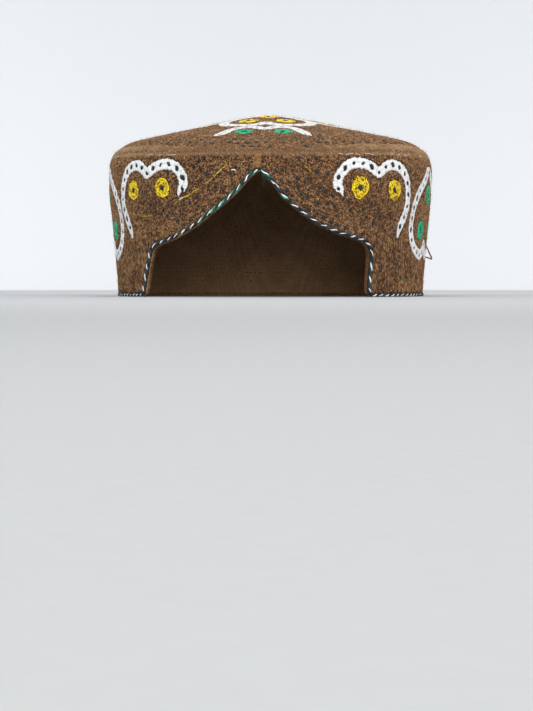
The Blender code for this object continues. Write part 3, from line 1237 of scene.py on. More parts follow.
@dataclass
class Field:
    """The brown ground stitching with its eyelets, between the motifs, and the plain shoulder of the top."""

    form: CapForm
    motifs: list[Motif]
    seed: int = 23
    pair_lean: float = math.radians(25)
    pair_apart: float = 0.00036
    stitch_size: tuple[float, ...] = (0.00180, 0.00074, 0.00080)
    low_lean: float = math.radians(10)
    low_stitch_size: tuple[float, ...] = (0.00275, 0.00060, 0.00088)
    lowest_row: float = 0.0022
    row_step: float = 0.00128
    column_step: float = 0.00138
    column_lag: float = 0.618
    from_cut: float = 0.0011
    below_seam: float = 0.0004
    from_white_band: float = 0.00045
    from_ring: float = 0.00035
    band_tone: float = 0.50
    top_tone: float = 0.36
    arch_reach: float = 0.024
    arch_half: float = 0.058
    flap_height: float = 0.034
    eyelet_step: float = 0.0049
    slit_step: float = 0.0041
    top_eyelet_step: float = 0.0039
    eyelet_clear: float = 0.00056
    eyelet_from_cut: float = 0.0028
    eyelets_apart: float = 0.0030
    top_eyelets_apart: float = 0.0034
    eyelet_from_white_band: float = 0.0013
    eyelet_from_ring: float = 0.0030
    arch_rows: int = 6
    arch_row_step: float = 0.0040
    hole: tuple[float, float] = (0.00215, 0.00180)
    slit: tuple[float, float] = (0.00270, 0.00115)
    top_hole: tuple[float, float] = (0.00260, 0.00200)
    hole_lift: float = 0.00009
    top_hole_lift: float = 0.00034
    hole_rise: float = 0.00030
    rim_stitch: Stitch = Stitch(0.00125, 0.00056, 0.00065)
    rim_reach: float = 0.00024
    rim_lift: float = 0.00012
    shoulder_share: float = 0.945
    shoulder_stitch: Stitch = Stitch(0.0024, 0.00062, 0.00066, 0.8, 1.2)
    seam_stitch: Stitch = Stitch(0.0025, 0.00066, 0.00072, 0.8, 1.2)
    seam_pitch: float = 0.00042
    seam_lift: float = 0.00018
    eye_shade_arc: float = 0.059
    eye_shade_height: float = 0.0425
    eye_shade_reach: tuple[float, float] = (0.013, 0.0055)

    def __post_init__(self) -> None:
        """Lays out the cut line and starts the random draws."""
        self.rng = np.random.default_rng(self.seed)
        self.cut = self.form.cut_line(0.0008)
        self.arch = self.cut[np.abs(self.cut[:, 0]) < self.arch_half]

    def motif_distance(self, flat: Array, pattern: Pattern) -> tuple[Array, Array, Array]:
        """How far places are from the motifs.

        Args:
            flat: places on the pattern.
            pattern: the pattern.

        Returns:
            Distance to the nearest white band's edge, to the nearest ring's edge, and that ring's middle.
        """
        band_far = np.full(len(flat), 1.0)
        ring_far = np.full(len(flat), 1.0)
        ring_place = np.zeros((len(flat), 2))
        turn = np.array([2 * self.form.half_arc, 0.0])
        margin = 0.012
        for motif in self.motifs:
            if type(motif.pattern) is not type(pattern):
                continue
            over_end = isinstance(pattern, BandPattern) and motif.line[:, 0].max() > self.form.half_arc
            for shift in (0.0, -1.0) if over_end else (0.0,):
                line, rings = motif.dense[::2] + shift * turn, motif.rings + shift * turn
                low, high = line.min(0) - margin, line.max(0) + margin
                near = np.flatnonzero(((flat > low) & (flat < high)).all(1))
                if not len(near):
                    continue
                far, index = nearest(flat[near], line)
                half = motif.half_width(motif.along[::2])[index]
                band_far[near] = np.minimum(band_far[near], far - half)
                far, index = nearest(flat[near], rings)
                closer = far - motif.radii[index] < ring_far[near]
                ring_far[near] = np.where(closer, far - motif.radii[index], ring_far[near])
                ring_place[near[closer]] = rings[index[closer]]
        return band_far, ring_far, ring_place

    def band_direction(self, flat: Array) -> Array:
        """Which way the band's rows climb.

        Args:
            flat: places on the band's pattern.

        Returns:
            A direction at each place: upright, but square to the arch's edge close to it.
        """
        far, index = nearest(flat, self.cut)
        square = left_of(headings(self.cut)[index])
        over_arch = (np.abs(flat[:, 0]) < self.arch_half) * smoothstep(1 - far / self.arch_reach)
        return unit(np.array([0.0, 1.0]) * (1 - over_arch)[:, None] + square * over_arch[:, None])

    def band_places(self) -> Array:
        """Sets out the band's stitches.

        Returns:
            A staggered grid of places over the whole band, above its cut line, looser above the flaps.
        """
        rows = np.arange(0.0010, self.form.seam_height, self.row_step)
        count = round(2 * self.form.half_arc / self.column_step)
        columns = np.linspace(-self.form.half_arc, self.form.half_arc, count, endpoint=False)
        lag = (np.arange(count) * self.column_lag % 1.0) * self.row_step
        flat = np.concatenate([np.stack([columns, row + lag], -1) for row in rows])
        loose = 0.00010 + 0.00014 * smoothstep((flat[:, 1] - self.flap_height) / 0.010)
        flat = flat + self.rng.normal(0.0, 1.0, flat.shape) * loose[:, None]
        return flat[self.on_band(flat, self.from_cut) & (flat[:, 1] > self.lowest_row)]

    def on_band(self, flat: Array, margin: float) -> Array:
        """Which places are on the band's cloth.

        Args:
            flat: places on the band's pattern.
            margin: the least distance from its cut line.

        Returns:
            True for each place on the cloth and below the seam.
        """
        far, _ = nearest(flat, self.cut)
        inside = flat[:, 1] < self.form.seam(self.form.angle(flat[:, 0])) - self.below_seam
        left = np.array(self.form.arch_left)[::-1]
        right = np.array(self.form.arch_right)[::-1]
        edge_left = np.interp(flat[:, 1], left[:, 1], left[:, 0])
        edge_right = np.interp(flat[:, 1], right[:, 1], right[:, 0])
        opening = (flat[:, 0] > edge_left) & (flat[:, 0] < edge_right) & (flat[:, 1] < left[-1, 1])
        return inside & ~opening & (far > margin)

    @cached_property
    def top_profile(self) -> tuple[Array, Array]:
        """Measures the cloth from the top's middle down to its seam.

        Returns:
            Shares of the panel, and the distance from the middle at each.
        """
        half = float(np.mean(self.form.top_half_axes))
        shares = np.linspace(0, 1, 500)
        return shares, distances(self.form.top(shares * half, shares * 0.0))

    def shoulder_start(self, flat: Array) -> Array:
        """Where the plain shoulder begins: later over the front, and a little uneven all round.

        Args:
            flat: places on the top's pattern.

        Returns:
            The share of the panel at which it begins, towards each place.
        """
        turn = np.arctan2(flat[:, 0], -flat[:, 1])
        uneven = mottle(np.stack([np.sin(turn), np.cos(turn)], -1), 0.30, 21) - 0.5
        return self.shoulder_share + 0.040 * np.exp(-((turn / 0.50) ** 2)) + 0.014 * uneven

    def top_share(self, flat: Array) -> Array:
        """Each place's distance from the top's middle, as a share of the panel."""
        return np.hypot(*(flat / self.form.top_half_axes).T)

    def top_rings(self, first: float, last: float, row: float, column: float) -> tuple[Array, Array]:
        """Rings of places over the top panel.

        Args:
            first: share of the panel at which they start.
            last: share at which they end.
            row: distance between rings, on the cloth.
            column: distance between places in a ring.

        Returns:
            The places, and which way out is at each.
        """
        half = self.form.top_half_axes
        shares, lengths = self.top_profile
        start, end = np.interp([first, last], shares, lengths)
        least, most = 0.0003, lengths[-1] - 0.0003
        made, ways = [], []
        for length in np.arange(start, end, row):
            share = float(np.interp(length, lengths, shares))
            count = max(6, round(TURN * share * math.sqrt(float((half**2).mean())) / column))
            turn = (np.arange(count) + self.rng.uniform()) / count * TURN
            wander = self.rng.uniform(-0.5, 0.5, count) * row * 0.9
            moved = np.interp(np.clip(length + wander, least, most), lengths, shares)
            spoke = np.stack([np.sin(turn), -np.cos(turn)], -1)
            made.append(spoke * half * moved[:, None])
            ways.append(spoke * half)
        return np.concatenate(made), unit(np.concatenate(ways))

    def eyelets_on_band(self) -> list[Eyelet]:
        """Sets out the band's eyelets: rows that follow the arch's edge, a few tall ones on the flaps, and
        staggered rows round the rest.

        Returns:
            The eyelets.
        """
        step = self.eyelet_step
        made = []
        line = evenly(self.arch, step)
        line = line[line[:, 1] > 0.020]
        direction = headings(line)
        for row in range(self.arch_rows):
            inwards = self.arch_row_step + row * self.arch_row_step
            shifted = line + left_of(direction) * inwards + direction * (row % 2) * step / 2
            made.append(np.concatenate([shifted, direction, np.zeros((len(shifted), 1))], 1))
        columns = np.arange(-self.form.half_arc, self.form.half_arc - self.slit_step / 2, self.slit_step)
        for k, row in enumerate(np.arange(0.0060, 0.067, step * 0.86)):
            flat = np.stack([columns + (k % 2) * self.slit_step / 2, np.full(len(columns), row)], -1)
            far, _ = nearest(flat, self.arch)
            flat = flat[(np.abs(flat[:, 0]) > self.arch_half) | (far > 0.0255)]
            upright = np.tile([0.0, 1.0, 1.0], (len(flat), 1))
            made.append(np.concatenate([flat, upright], 1))
        rows = np.concatenate(made)
        loose = np.where(rows[:, 4:5] > 0, 0.6, 1.0)
        rows[:, :2] += self.rng.uniform(-0.0010, 0.0010, (len(rows), 2)) * loose
        rows = rows[self.on_band(rows[:, :2], self.eyelet_from_cut)]
        chance = np.where(rows[:, 4] > 0, 0.62, 0.82)
        left_flap = (rows[:, 0] < -0.045) & (rows[:, 0] > -0.10) & (rows[:, 1] < 0.040)
        chance = np.where(left_flap, 0.20, chance)
        rows = rows[self.rng.uniform(size=len(rows)) < chance]
        return self.chosen(self.thinned(rows, self.eyelets_apart), BandPattern(self.form))

    def eyelets_on_top(self) -> list[Eyelet]:
        """Sets out the top panel's eyelets, in rings that stop short of the shoulder.

        Returns:
            The eyelets.
        """
        half = self.form.top_half_axes
        made = []
        for k, share in enumerate(np.arange(0.06, 0.985, self.top_eyelet_step / float(half.mean()))):
            count = max(5, round(TURN * share * float(half.mean()) / self.eyelet_step))
            turn = (np.arange(count) + 0.5 * (k % 2)) / count * TURN
            flat = np.stack([np.sin(turn), -np.cos(turn)], -1) * half * share
            round_it = np.stack([np.cos(turn), np.sin(turn), np.zeros(count)], -1)
            made.append(np.concatenate([flat, round_it], 1))
        rows = np.concatenate(made)
        rows[:, :2] += self.rng.uniform(-0.0007, 0.0007, (len(rows), 2))
        rows = rows[self.top_share(rows[:, :2]) < self.shoulder_start(rows[:, :2]) - 0.006]
        rows = rows[self.rng.uniform(size=len(rows)) < 0.80]
        return self.chosen(self.thinned(rows, self.top_eyelets_apart), TopPattern(self.form))

    def thinned(self, rows: Array, apart: float) -> Array:
        """Drops each row that is too close to an earlier one.

        Args:
            rows: the rows, with a place in their first two numbers.
            apart: the least distance kept.

        Returns:
            The rows that stay.
        """
        kept: list[int] = []
        for i in range(len(rows)):
            if not kept or np.min(np.hypot(*(rows[kept, :2] - rows[i, :2]).T)) > apart:
                kept.append(i)
        return rows[kept]

    def chosen(self, rows: Array, pattern: Pattern) -> list[Eyelet]:
        """Keeps the rows that lie clear of the motifs, and gives each its own small size.

        Args:
            rows: place, direction, and 1 for a tall slit, in each.
            pattern: the pattern that they are on.

        Returns:
            The eyelets.
        """
        band_far, ring_far, _ = self.motif_distance(rows[:, :2], pattern)
        clear = (band_far > self.eyelet_from_white_band) & (ring_far > self.eyelet_from_ring)
        made = []
        for row in rows[clear]:
            size = self.rng.uniform(0.58, 1.20)
            long, wide = self.slit if row[4] else self.hole
            if isinstance(pattern, TopPattern):
                long, wide = self.top_hole
            turn = self.rng.normal(0.0, 0.22)
            cosine, sine = math.cos(turn), math.sin(turn)
            way = np.array([row[2] * cosine - row[3] * sine, row[2] * sine + row[3] * cosine])
            made.append(Eyelet(row[:2], long * size, wide * size * self.rng.uniform(0.85, 1.15), way))
        return made

    def pairs(
        self, work: StitchWork, pattern: Pattern, flat: Array, up: Array, tone: Array, calm: Array
    ) -> None:
        """Lays two leaning stitches at each place, like an open V.

        Args:
            work: the piece that gets them.
            pattern: the pattern that the places are on.
            flat: the places.
            up: which way each V opens, on the pattern.
            tone: each V's colour.
            calm: 0 for the short stitches that stray, 1 for the long upright ones.
        """
        rise, out = pattern.heading(flat, up)
        side = np.cross(out, rise)
        base = pattern.lifted(flat, 0.00008)
        count = len(flat)
        usual = np.array(self.stitch_size) * (1 - calm[:, None])
        usual = usual + np.array(self.low_stitch_size) * calm[:, None]
        for sign in (1.0, -1.0):
            lean = self.pair_lean + (self.low_lean - self.pair_lean) * calm
            lean = lean + self.rng.normal(0.0, 1.0, count) * (0.34 - 0.19 * calm)
            along = rise * np.cos(lean)[:, None] + side * (sign * np.sin(lean))[:, None]
            spot = base + side * (sign * self.pair_apart) + out * self.rng.uniform(0, 0.00022, count)[:, None]
            size = usual * self.rng.uniform(0.78, 1.20, (count, 3))
            shade = np.clip(tone + self.rng.normal(0.0, 0.25, count), 0.0, 1.0)
            work.add(spot + rise * self.rng.normal(0, 0.00016, (count, 1)), along, out, size, shade)

    def clear_of(self, flat: Array, eyelets: list[Eyelet]) -> Array:
        """Which places are outside every eyelet.

        Args:
            flat: the places.
            eyelets: the eyelets.

        Returns:
            True for each place that is.
        """
        spots = np.array([e.place for e in eyelets])
        _, index = nearest(flat, spots)
        ways = unit(np.array([e.direction for e in eyelets]))[index]
        lengths = np.array([e.length for e in eyelets])[index] / 2 + self.eyelet_clear
        widths = np.array([e.width for e in eyelets])[index] / 2 + self.eyelet_clear
        away = flat - spots[index]
        along = (away * ways).sum(1) / lengths
        across = (away[:, 0] * ways[:, 1] - away[:, 1] * ways[:, 0]) / widths
        return np.hypot(along, across) > 1.0

    def open_eyelets(
        self, pattern: Pattern, eyelets: list[Eyelet], holes: StitchWork, rims: StitchWork
    ) -> None:
        """Shows the dark cloth in each eyelet, and whips its rim with small stitches.

        Args:
            pattern: the pattern that they are on.
            eyelets: the eyelets.
            holes: the piece that gets the dark cloth.
            rims: the piece that gets the small stitches.
        """
        count = len(eyelets)
        spots = np.array([e.place for e in eyelets])
        ways = unit(np.array([e.direction for e in eyelets]))
        halves = np.array([[e.length, e.width] for e in eyelets]) / 2
        lift = self.top_hole_lift if isinstance(pattern, TopPattern) else self.hole_lift
        size = np.concatenate([halves * 2 + 0.0005, np.full((count, 1), self.hole_rise)], 1)
        holes.sew(pattern, spots, ways, lift, size, self.rng.uniform(0.1, 0.7, count))
        square = left_of(ways)
        for turn in np.linspace(0, TURN, 7, endpoint=False):
            reach = halves + self.rim_reach + self.rng.normal(0.0, 0.00017, (count, 1))
            flat = spots + ways * (np.cos(turn) * reach[:, :1]) + square * (np.sin(turn) * reach[:, 1:])
            way = -ways * (np.sin(turn) * reach[:, :1]) + square * (np.cos(turn) * reach[:, 1:])
            size = self.rim_stitch.sizes(self.rng, count)
            tone = np.clip(self.rng.normal(0.42, 0.16, count), 0.0, 1.0)
            rims.sew(pattern, flat, way, self.rim_lift, size, tone)

    def lay(
        self, pattern: Pattern, flat: Array, up: Array, eyelets: list[Eyelet], works: list[StitchWork],
        base: float,
    ) -> None:
        """Lays the field's pairs on one pattern.

        Args:
            pattern: the pattern.
            flat: a grid of places on it.
            up: which way the rows climb at each place.
            eyelets: the eyelets to keep clear.
            works: the pieces that share the stitches, going round the cap.
            base: the field's middle tone.
        """
        band_far, ring_far, ring_place = self.motif_distance(flat, pattern)
        keep = (band_far > self.from_white_band) & (ring_far > self.from_ring) & self.clear_of(flat, eyelets)
        flat, up, ring_far, ring_place = flat[keep], up[keep], ring_far[keep], ring_place[keep]
        circling = smoothstep((0.0036 - ring_far) / 0.0020)[:, None]
        spoke = unit(flat - ring_place + 1e-9)
        up = unit(up * (1 - circling) + spoke * circling * 1.01)
        place = pattern.surface(flat)
        tone = base + 0.26 * (mottle(place, 0.021, 3) - 0.5) + 0.26 * (mottle(place, 0.0048, 4) - 0.5)
        calm = np.zeros(len(flat))
        if isinstance(pattern, BandPattern):
            wide, tall = self.eye_shade_reach
            away = ((np.abs(flat[:, 0]) - self.eye_shade_arc) / wide) ** 2
            away = away + ((flat[:, 1] - self.eye_shade_height) / tall) ** 2
            calm = smoothstep((self.flap_height + 0.003 - flat[:, 1]) / 0.012)
            columns = mottle(flat * [1.0, 0.13], 0.0026, 12) - 0.5
            tone = tone - 0.17 * np.exp(-away) + calm * (0.36 * columns - 0.16)
            tone = tone - 0.05 * calm * (flat[:, 0] < 0)
        turn = np.arctan2(place[:, 0], -place[:, 1])
        share = np.clip(((turn + math.pi) / TURN * len(works)).astype(int), 0, len(works) - 1)
        for k, work in enumerate(works):
            mine = share == k
            self.pairs(work, pattern, flat[mine], up[mine], tone[mine], calm[mine])

    def shoulder(self, work: StitchWork) -> None:
        """Lays the long slanting stitches of the shoulder, which reach down over the seam, with painted shade
        towards the front's middle.

        Args:
            work: the piece that gets them.
        """
        pattern = TopPattern(self.form)
        flat, out_way = self.top_rings(self.shoulder_share - 0.014, 1.0, 0.00088, 0.00072)
        keep = self.top_share(flat) > self.shoulder_start(flat) - 0.006
        flat, out_way = flat[keep], out_way[keep]
        count = len(flat)
        lean = np.where(self.rng.uniform(size=count) < 0.78, 0.85, -0.55) + self.rng.normal(0, 0.20, count)
        way = out_way * np.cos(lean)[:, None] + left_of(out_way) * np.sin(lean)[:, None]
        heading, out = pattern.heading(flat, way)
        size = self.shoulder_stitch.sizes(self.rng, count)
        place = pattern.surface(flat)
        tone = 0.50 + 0.5 * (mottle(place, 0.012, 6) - 0.5) + self.rng.normal(0, 0.22, count)
        # Painted shade: darker towards the front's middle and paler at the sides, in place of how the light
        # and sheen fall across the shoulder.
        tone = tone - 0.34 * np.exp(-((np.arctan2(place[:, 0], -place[:, 1]) / 0.55) ** 2))
        spot = place + out * self.rng.uniform(0.0, 0.00020, (count, 1))
        work.add(spot, heading, out, size, np.clip(tone, 0, 1))

    def seam_cover(self, work: StitchWork) -> None:
        """Overcasts the seam between the band and the top with slanting stitches, with painted shade towards
        the front's middle.

        Args:
            work: the piece that gets them.
        """
        arcs = np.arange(-self.form.half_arc, self.form.half_arc, self.seam_pitch)
        arcs = arcs + self.rng.normal(0, 0.00015, len(arcs))
        heights = self.form.seam(self.form.angle(arcs)) - 0.0001 + self.rng.normal(0, 0.00022, len(arcs))
        flat = np.stack([arcs, heights], -1)
        lean = 0.55 + self.rng.normal(0, 0.25, len(flat))
        way = np.stack([-np.sin(lean), np.cos(lean)], -1)
        size = self.seam_stitch.sizes(self.rng, len(flat))
        # Painted shade: the stitches are darker towards the front's middle, as on the shoulder.
        middle = 0.34 - 0.26 * np.exp(-((arcs / 0.055) ** 2))
        tone = np.clip(self.rng.normal(middle, 0.22), 0.0, 1.0)
        work.sew(BandPattern(self.form), flat, way, self.seam_lift, size, tone)

    def build(self) -> None:
        """Lays the band's and the top's field and makes the pieces."""
        band = [StitchWork(f"band_stitches_{k + 1}", BROWN_THREAD, Slot.BAND) for k in range(3)]
        top = [StitchWork(f"top_stitches_{k + 1}", BROWN_THREAD, Slot.TOP) for k in range(2)]
        shoulder = StitchWork("shoulder_stitches", SHOULDER_THREAD, Slot.TOP)
        rims = both("eyelet_rims", BROWN_THREAD)
        holes = both("eyelets", EYELET_CLOTH, sides=7, wander=0.0)
        pattern, eyelets, flat = BandPattern(self.form), self.eyelets_on_band(), self.band_places()
        self.lay(pattern, flat, self.band_direction(flat), eyelets, band, self.band_tone)
        self.open_eyelets(pattern, eyelets, holes[Slot.BAND], rims[Slot.BAND])
        pattern, eyelets = TopPattern(self.form), self.eyelets_on_top()
        flat, out = self.top_rings(0.012, 0.99, self.row_step, self.column_step)
        keep = self.top_share(flat) < self.shoulder_start(flat)
        self.lay(pattern, flat[keep], out[keep], eyelets, top, self.top_tone)
        self.open_eyelets(pattern, eyelets, holes[Slot.TOP], rims[Slot.TOP])
        self.shoulder(shoulder)
        self.seam_cover(shoulder)
        for work in (*band, *top, shoulder, *rims.values(), *holes.values()):
            work.realise()


@dataclass
class Shells:
    """The ground cloth under the stitches, the plain inside and the bare cut edge, from the cap's solids."""

    form: CapForm
    middle_height: float = 0.045
    flatten: float = 2.0
    merge_within: float = 1e-6
    sharp_from: float = math.radians(38)

    def build(self, node: str, name: str, slot: Slot, ground: ClothFinish) -> bpy.types.Object:
        """Copies one solid with its doubles merged, and dresses its outside and inside, each face by the way
        it faces.

        Args:
            node: the solid.
            name: the new piece's name.
            slot: its material slot.
            ground: the finish of its outside.

        Returns:
            The new piece, which stands for the solid.
        """
        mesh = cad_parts[node].data.copy()
        mesh.materials.clear()
        for finish in (ground, INSIDE_CLOTH):
            mesh.materials.append(finish.material())
        work = bmesh.new()
        work.from_mesh(mesh)
        bmesh.ops.remove_doubles(work, verts=work.verts, dist=self.merge_within)
        middle = Vector((0.0, self.form.middle_y, self.middle_height))
        for face in work.faces:
            away = face.calc_center_median() - middle
            away.z *= self.flatten
            face.material_index = 0 if face.normal.dot(away) > 0 else 1
            face.smooth = True
        work.to_mesh(mesh)
        work.free()
        for layer in [a.name for a in mesh.attributes if a.name.startswith("custom_normal")]:
            mesh.attributes.remove(mesh.attributes[layer])
        mesh.set_sharp_from_angle(angle=self.sharp_from)
        mesh.name = name
        return dress(bpy.data.objects.new(name, mesh), slot, node)


@dataclass(frozen=True)
class Ply:
    """One ply of the cord, laid twice, half a turn apart.

    phase is its turn ahead of the dark ply, swell how much thicker it is where it faces out, tuck how far it
    sinks where it faces in, and uneven how much its thickness strays. tone is its colour, which strays by
    tone_stray and is darker by peak_dark at the peak. arcs says where it shows, and none means all the way.
    """

    name: str
    finish: Finish
    radius: float
    reach: float
    swell: float
    uneven: float
    tone: float
    phase: float = 0.0
    tuck: float = 0.0
    tone_stray: float = 1.0
    peak_dark: float = 0.0
    sides: int = 5
    arcs: Table = ()
    stands_for: tuple[str, ...] = ()


DARK_PLY = Ply(
    "cord_dark_ply", NAVY_THREAD, 0.00064, 0.00051, 0.14, 0.4, 0.3, tone_stray=1.1, sides=6,
    stands_for=("edge_cord",),
)
PALE_PLY = Ply("cord_pale_ply", WHITE_THREAD, 0.00021, 0.00073, 0.50, 0.8, 0.8, phase=1.57, tuck=1.15)
GREEN_PLY = Ply(
    "cord_green_ply", GREEN_THREAD, 0.00046, 0.00066, 0.2, 0.6, 0.36, phase=-0.38, peak_dark=0.45,
    arcs=(
        (-0.0318, -0.0262), (-0.0252, -0.0150), (-0.0140, -0.0088), (-0.0052, -0.0009), (0.0009, 0.0060),
        (0.0105, 0.0140),
    ),
)


@dataclass
class Edging:
    """The cord of two dark plies with a pale one in each groove, its binding stitches, and the bare edge."""

    form: CapForm
    seed: int = 37
    from_cut_line: float = 0.00095
    out_of_face: float = 0.00030
    lowest: float = 0.00096
    above_floor: float = 0.00002
    peak_above: float = 0.055
    arch_above: float = 0.024
    cord_step: float = 0.00045
    rim_lead: float = 0.0104
    arch_lead: float = 0.0121
    lead_stray: float = 0.55
    turn_stray: float = 0.6
    end_clear: float = 0.0007
    least_tuck: float = 0.1
    peak_reach: float = 0.008
    overcast_step: float = 0.00085
    overcast_rows: Table = ((0.00095, 0.00012), (0.00195, 0.00012), (0.00265, 0.00075))
    inner_edge: float = 0.0025
    overcast_stitch: Stitch = Stitch(0.0016, 0.00095, 0.0006)
    dark_arcs: tuple[float, float] = (0.004, 0.070)
    binding_step: float = 0.0016
    binding_inset: float = 0.0010
    binding_size: Triple = (0.0019, 0.00040, 0.00040)
    binding_slant: float = 0.35
    binding_share: float = 0.70
    under_cord: float = 0.00030
    arch_threads: tuple[tuple[Finish, float, float, float], ...] = (
        # finish, radius, arc from, arc to
        (GREEN_THREAD, 0.00034, -0.0252, -0.0172),
        (GREEN_THREAD, 0.00030, -0.0158, -0.0108),
        (GREEN_THREAD, 0.00034, -0.0052, -0.0012),
        (GREEN_THREAD, 0.00034, 0.0012, 0.0052),
        (YELLOW_THREAD, 0.00030, -0.0452, -0.0395),
        (YELLOW_THREAD, 0.00022, -0.0372, -0.0345),
    )
    tails: tuple[Table, ...] = (
        ((0.0008, 0.0598), (0.0018, 0.0580), (0.0020, 0.0560), (0.0012, 0.0541)),
        ((0.0004, 0.0600), (0.0010, 0.0586), (0.0011, 0.0570)),
        ((0.0020, 0.0585), (0.0034, 0.0568), (0.0046, 0.0556)),
    )

    def __post_init__(self) -> None:
        """Makes the band's pattern and starts the random draws."""
        self.pattern = BandPattern(self.form)
        self.rng = np.random.default_rng(self.seed)

    def inset_line(self, step: float, inset: float) -> Array:
        """The cut line moved into the cloth.

        Args:
            step: distance between its points.
            inset: how far it is moved.

        Returns:
            Points that run on round the back, so that they start and end at the arch's peak.
        """
        line = self.form.cut_line(step)
        moved = line + left_of(headings(line)) * inset
        peak = int(np.where(line[:, 1] > self.peak_above, np.abs(line[:, 0]), 1.0).argmin())
        onward = moved[1 : peak + 1] + [2 * self.form.half_arc, 0.0]
        return evenly(np.concatenate([moved[peak:], onward]), step)

    def plies(self) -> None:
        """Makes the plies, wound round each other more tightly on the rim than on the arch."""
        flat = self.inset_line(self.cord_step, self.from_cut_line)
        centre = self.pattern.lifted(flat, self.out_of_face)
        centre[:, 2] = np.maximum(centre[:, 2], self.lowest)
        along = headings(centre)
        out = self.pattern.axes(flat)[2]
        side = unit(np.cross(along, out))
        out = np.cross(side, along)
        distance = distances(centre)
        raised = smoothstep((flat[:, 1] - 0.002) / 0.006)
        lead = self.rim_lead + (self.arch_lead - self.rim_lead) * raised
        lead = lead * (1 + self.lead_stray * (mottle(centre, 0.018, 9) - 0.5))
        turn = np.concatenate([[0.0], -np.cumsum(np.diff(distance) / lead[1:])]) * TURN
        keep = (distance > self.end_clear) & (distance < distance[-1] - self.end_clear)
        uneven = mottle(centre, 0.0045, 15) - 0.5
        other = mottle(centre, 0.0036, 16) - 0.5
        arc = self.form.wrapped(flat[:, 0])
        on_arch = keep & (flat[:, 1] > self.arch_above)
        at_peak = np.exp(-((arc / self.peak_reach) ** 2))
        for ply in (DARK_PLY, PALE_PLY, GREEN_PLY):
            work = ThreadWork(ply.name, ply.finish, Slot.CORD, sides=ply.sides)
            parts = [on_arch & (arc > low) & (arc < high) for low, high in ply.arcs] or [keep]
            for half, tilt in ((0.0, uneven), (math.pi, other)):
                facing = turn + half + ply.phase + self.turn_stray * other
                outward = np.cos(facing)
                radius = ply.radius * (1 + ply.uneven * tilt) * (1 + ply.swell * outward)
                reach = ply.reach * np.maximum(1 - ply.tuck * (1 - outward), self.least_tuck)
                line = centre + out * (outward * reach)[:, None]
                line = line + side * (np.sin(facing) * reach)[:, None]
                line[:, 2] = np.maximum(line[:, 2], radius + self.above_floor)
                tone = np.clip(ply.tone + ply.tone_stray * tilt - ply.peak_dark * at_peak, 0.0, 1.0)
                for part in parts:
                    work.add(line[part], radius[part], tone[part])
            work.realise(*ply.stands_for)

    def overcast(self) -> None:
        """Overcasts the bare edge beside the cord in tan."""
        work = StitchWork("edge_overcast", TAN_THREAD, Slot.BAND, wander=0.12)
        flat = self.inset_line(self.overcast_step, 0.0)
        direction = headings(flat)
        count = len(flat)
        rise, out = self.pattern.heading(flat, left_of(direction))
        along, _ = self.pattern.heading(flat, direction)
        low, high = self.dark_arcs
        right_of_arch = (flat[:, 0] > low) & (flat[:, 0] < high)
        for depth, lift in self.overcast_rows:
            spot = self.pattern.surface(flat) - out * depth + rise * lift
            spot[:, 2] = np.maximum(spot[:, 2], 0.0004)
            tone = np.clip(self.rng.normal(0.60, 0.22, count) - 0.55 * right_of_arch, 0, 1)
            size = self.overcast_stitch.sizes(self.rng, count)
            way, face = (out, -rise) if depth < self.inner_edge else (rise, -out)
            work.add(spot, unit(way * 0.94 + along * 0.25), face, size, tone)
        work.realise()

    def binding(self) -> None:
        """Binds the cord with short dark stitches."""
        work = StitchWork("cord_binding", NAVY_THREAD, Slot.CORD, rings=3, wander=0.30)
        line = self.inset_line(self.binding_step / 2, self.from_cut_line + self.binding_inset)
        flat = evenly(line, self.binding_step)
        direction = headings(flat)
        count = len(flat)
        rise, out = self.pattern.heading(flat, left_of(direction) + direction * self.binding_slant)
        keep = self.rng.uniform(size=count) < self.binding_share
        size = np.array(self.binding_size) * self.rng.uniform(0.6, 1.2, (count, 1))
        spot = self.pattern.lifted(flat, 0.00055)
        work.add(spot[keep], unit(rise - out * 0.35)[keep], out[keep], size[keep], 0.35)
        work.realise()

    def coloured_threads(self) -> None:
        """The green and yellow threads under the arch's cord, and the tails of the cord's two ends."""
        works = {
            GREEN_THREAD: ThreadWork("arch_green_thread", GREEN_THREAD, Slot.CORD),
            YELLOW_THREAD: ThreadWork("arch_yellow_thread", YELLOW_THREAD, Slot.CORD, sides=5),
        }
        line = self.form.cut_line(0.0005)
        line = line + left_of(headings(line)) * self.under_cord
        for finish, radius, low, high in self.arch_threads:
            shown = (line[:, 0] > low) & (line[:, 0] < high) & (line[:, 1] > self.arch_above)
            part = evenly(line[shown], 0.0007)
            number = np.arange(len(part))
            place = self.pattern.lifted(part, 0.0001)
            wave = np.sin(number * 1.3) * 0.00014
            place = place + self.pattern.axes(part)[2] * wave[:, None]
            works[finish].add(place, radius, 0.50 + 0.3 * np.sin(number * 0.9))
        for work in works.values():
            work.realise()
        tails = ThreadWork("peak_tails", NAVY_THREAD, Slot.CORD, sides=5)
        for route in self.tails:
            tails.add(self.pattern.lifted(smooth_line(route, 0.0003), 0.0006), 0.00014, 0.5)
        tails.realise()

    def build(self) -> None:
        """Makes the cord and everything beside it."""
        self.plies()
        self.overcast()
        self.binding()
        self.coloured_threads()


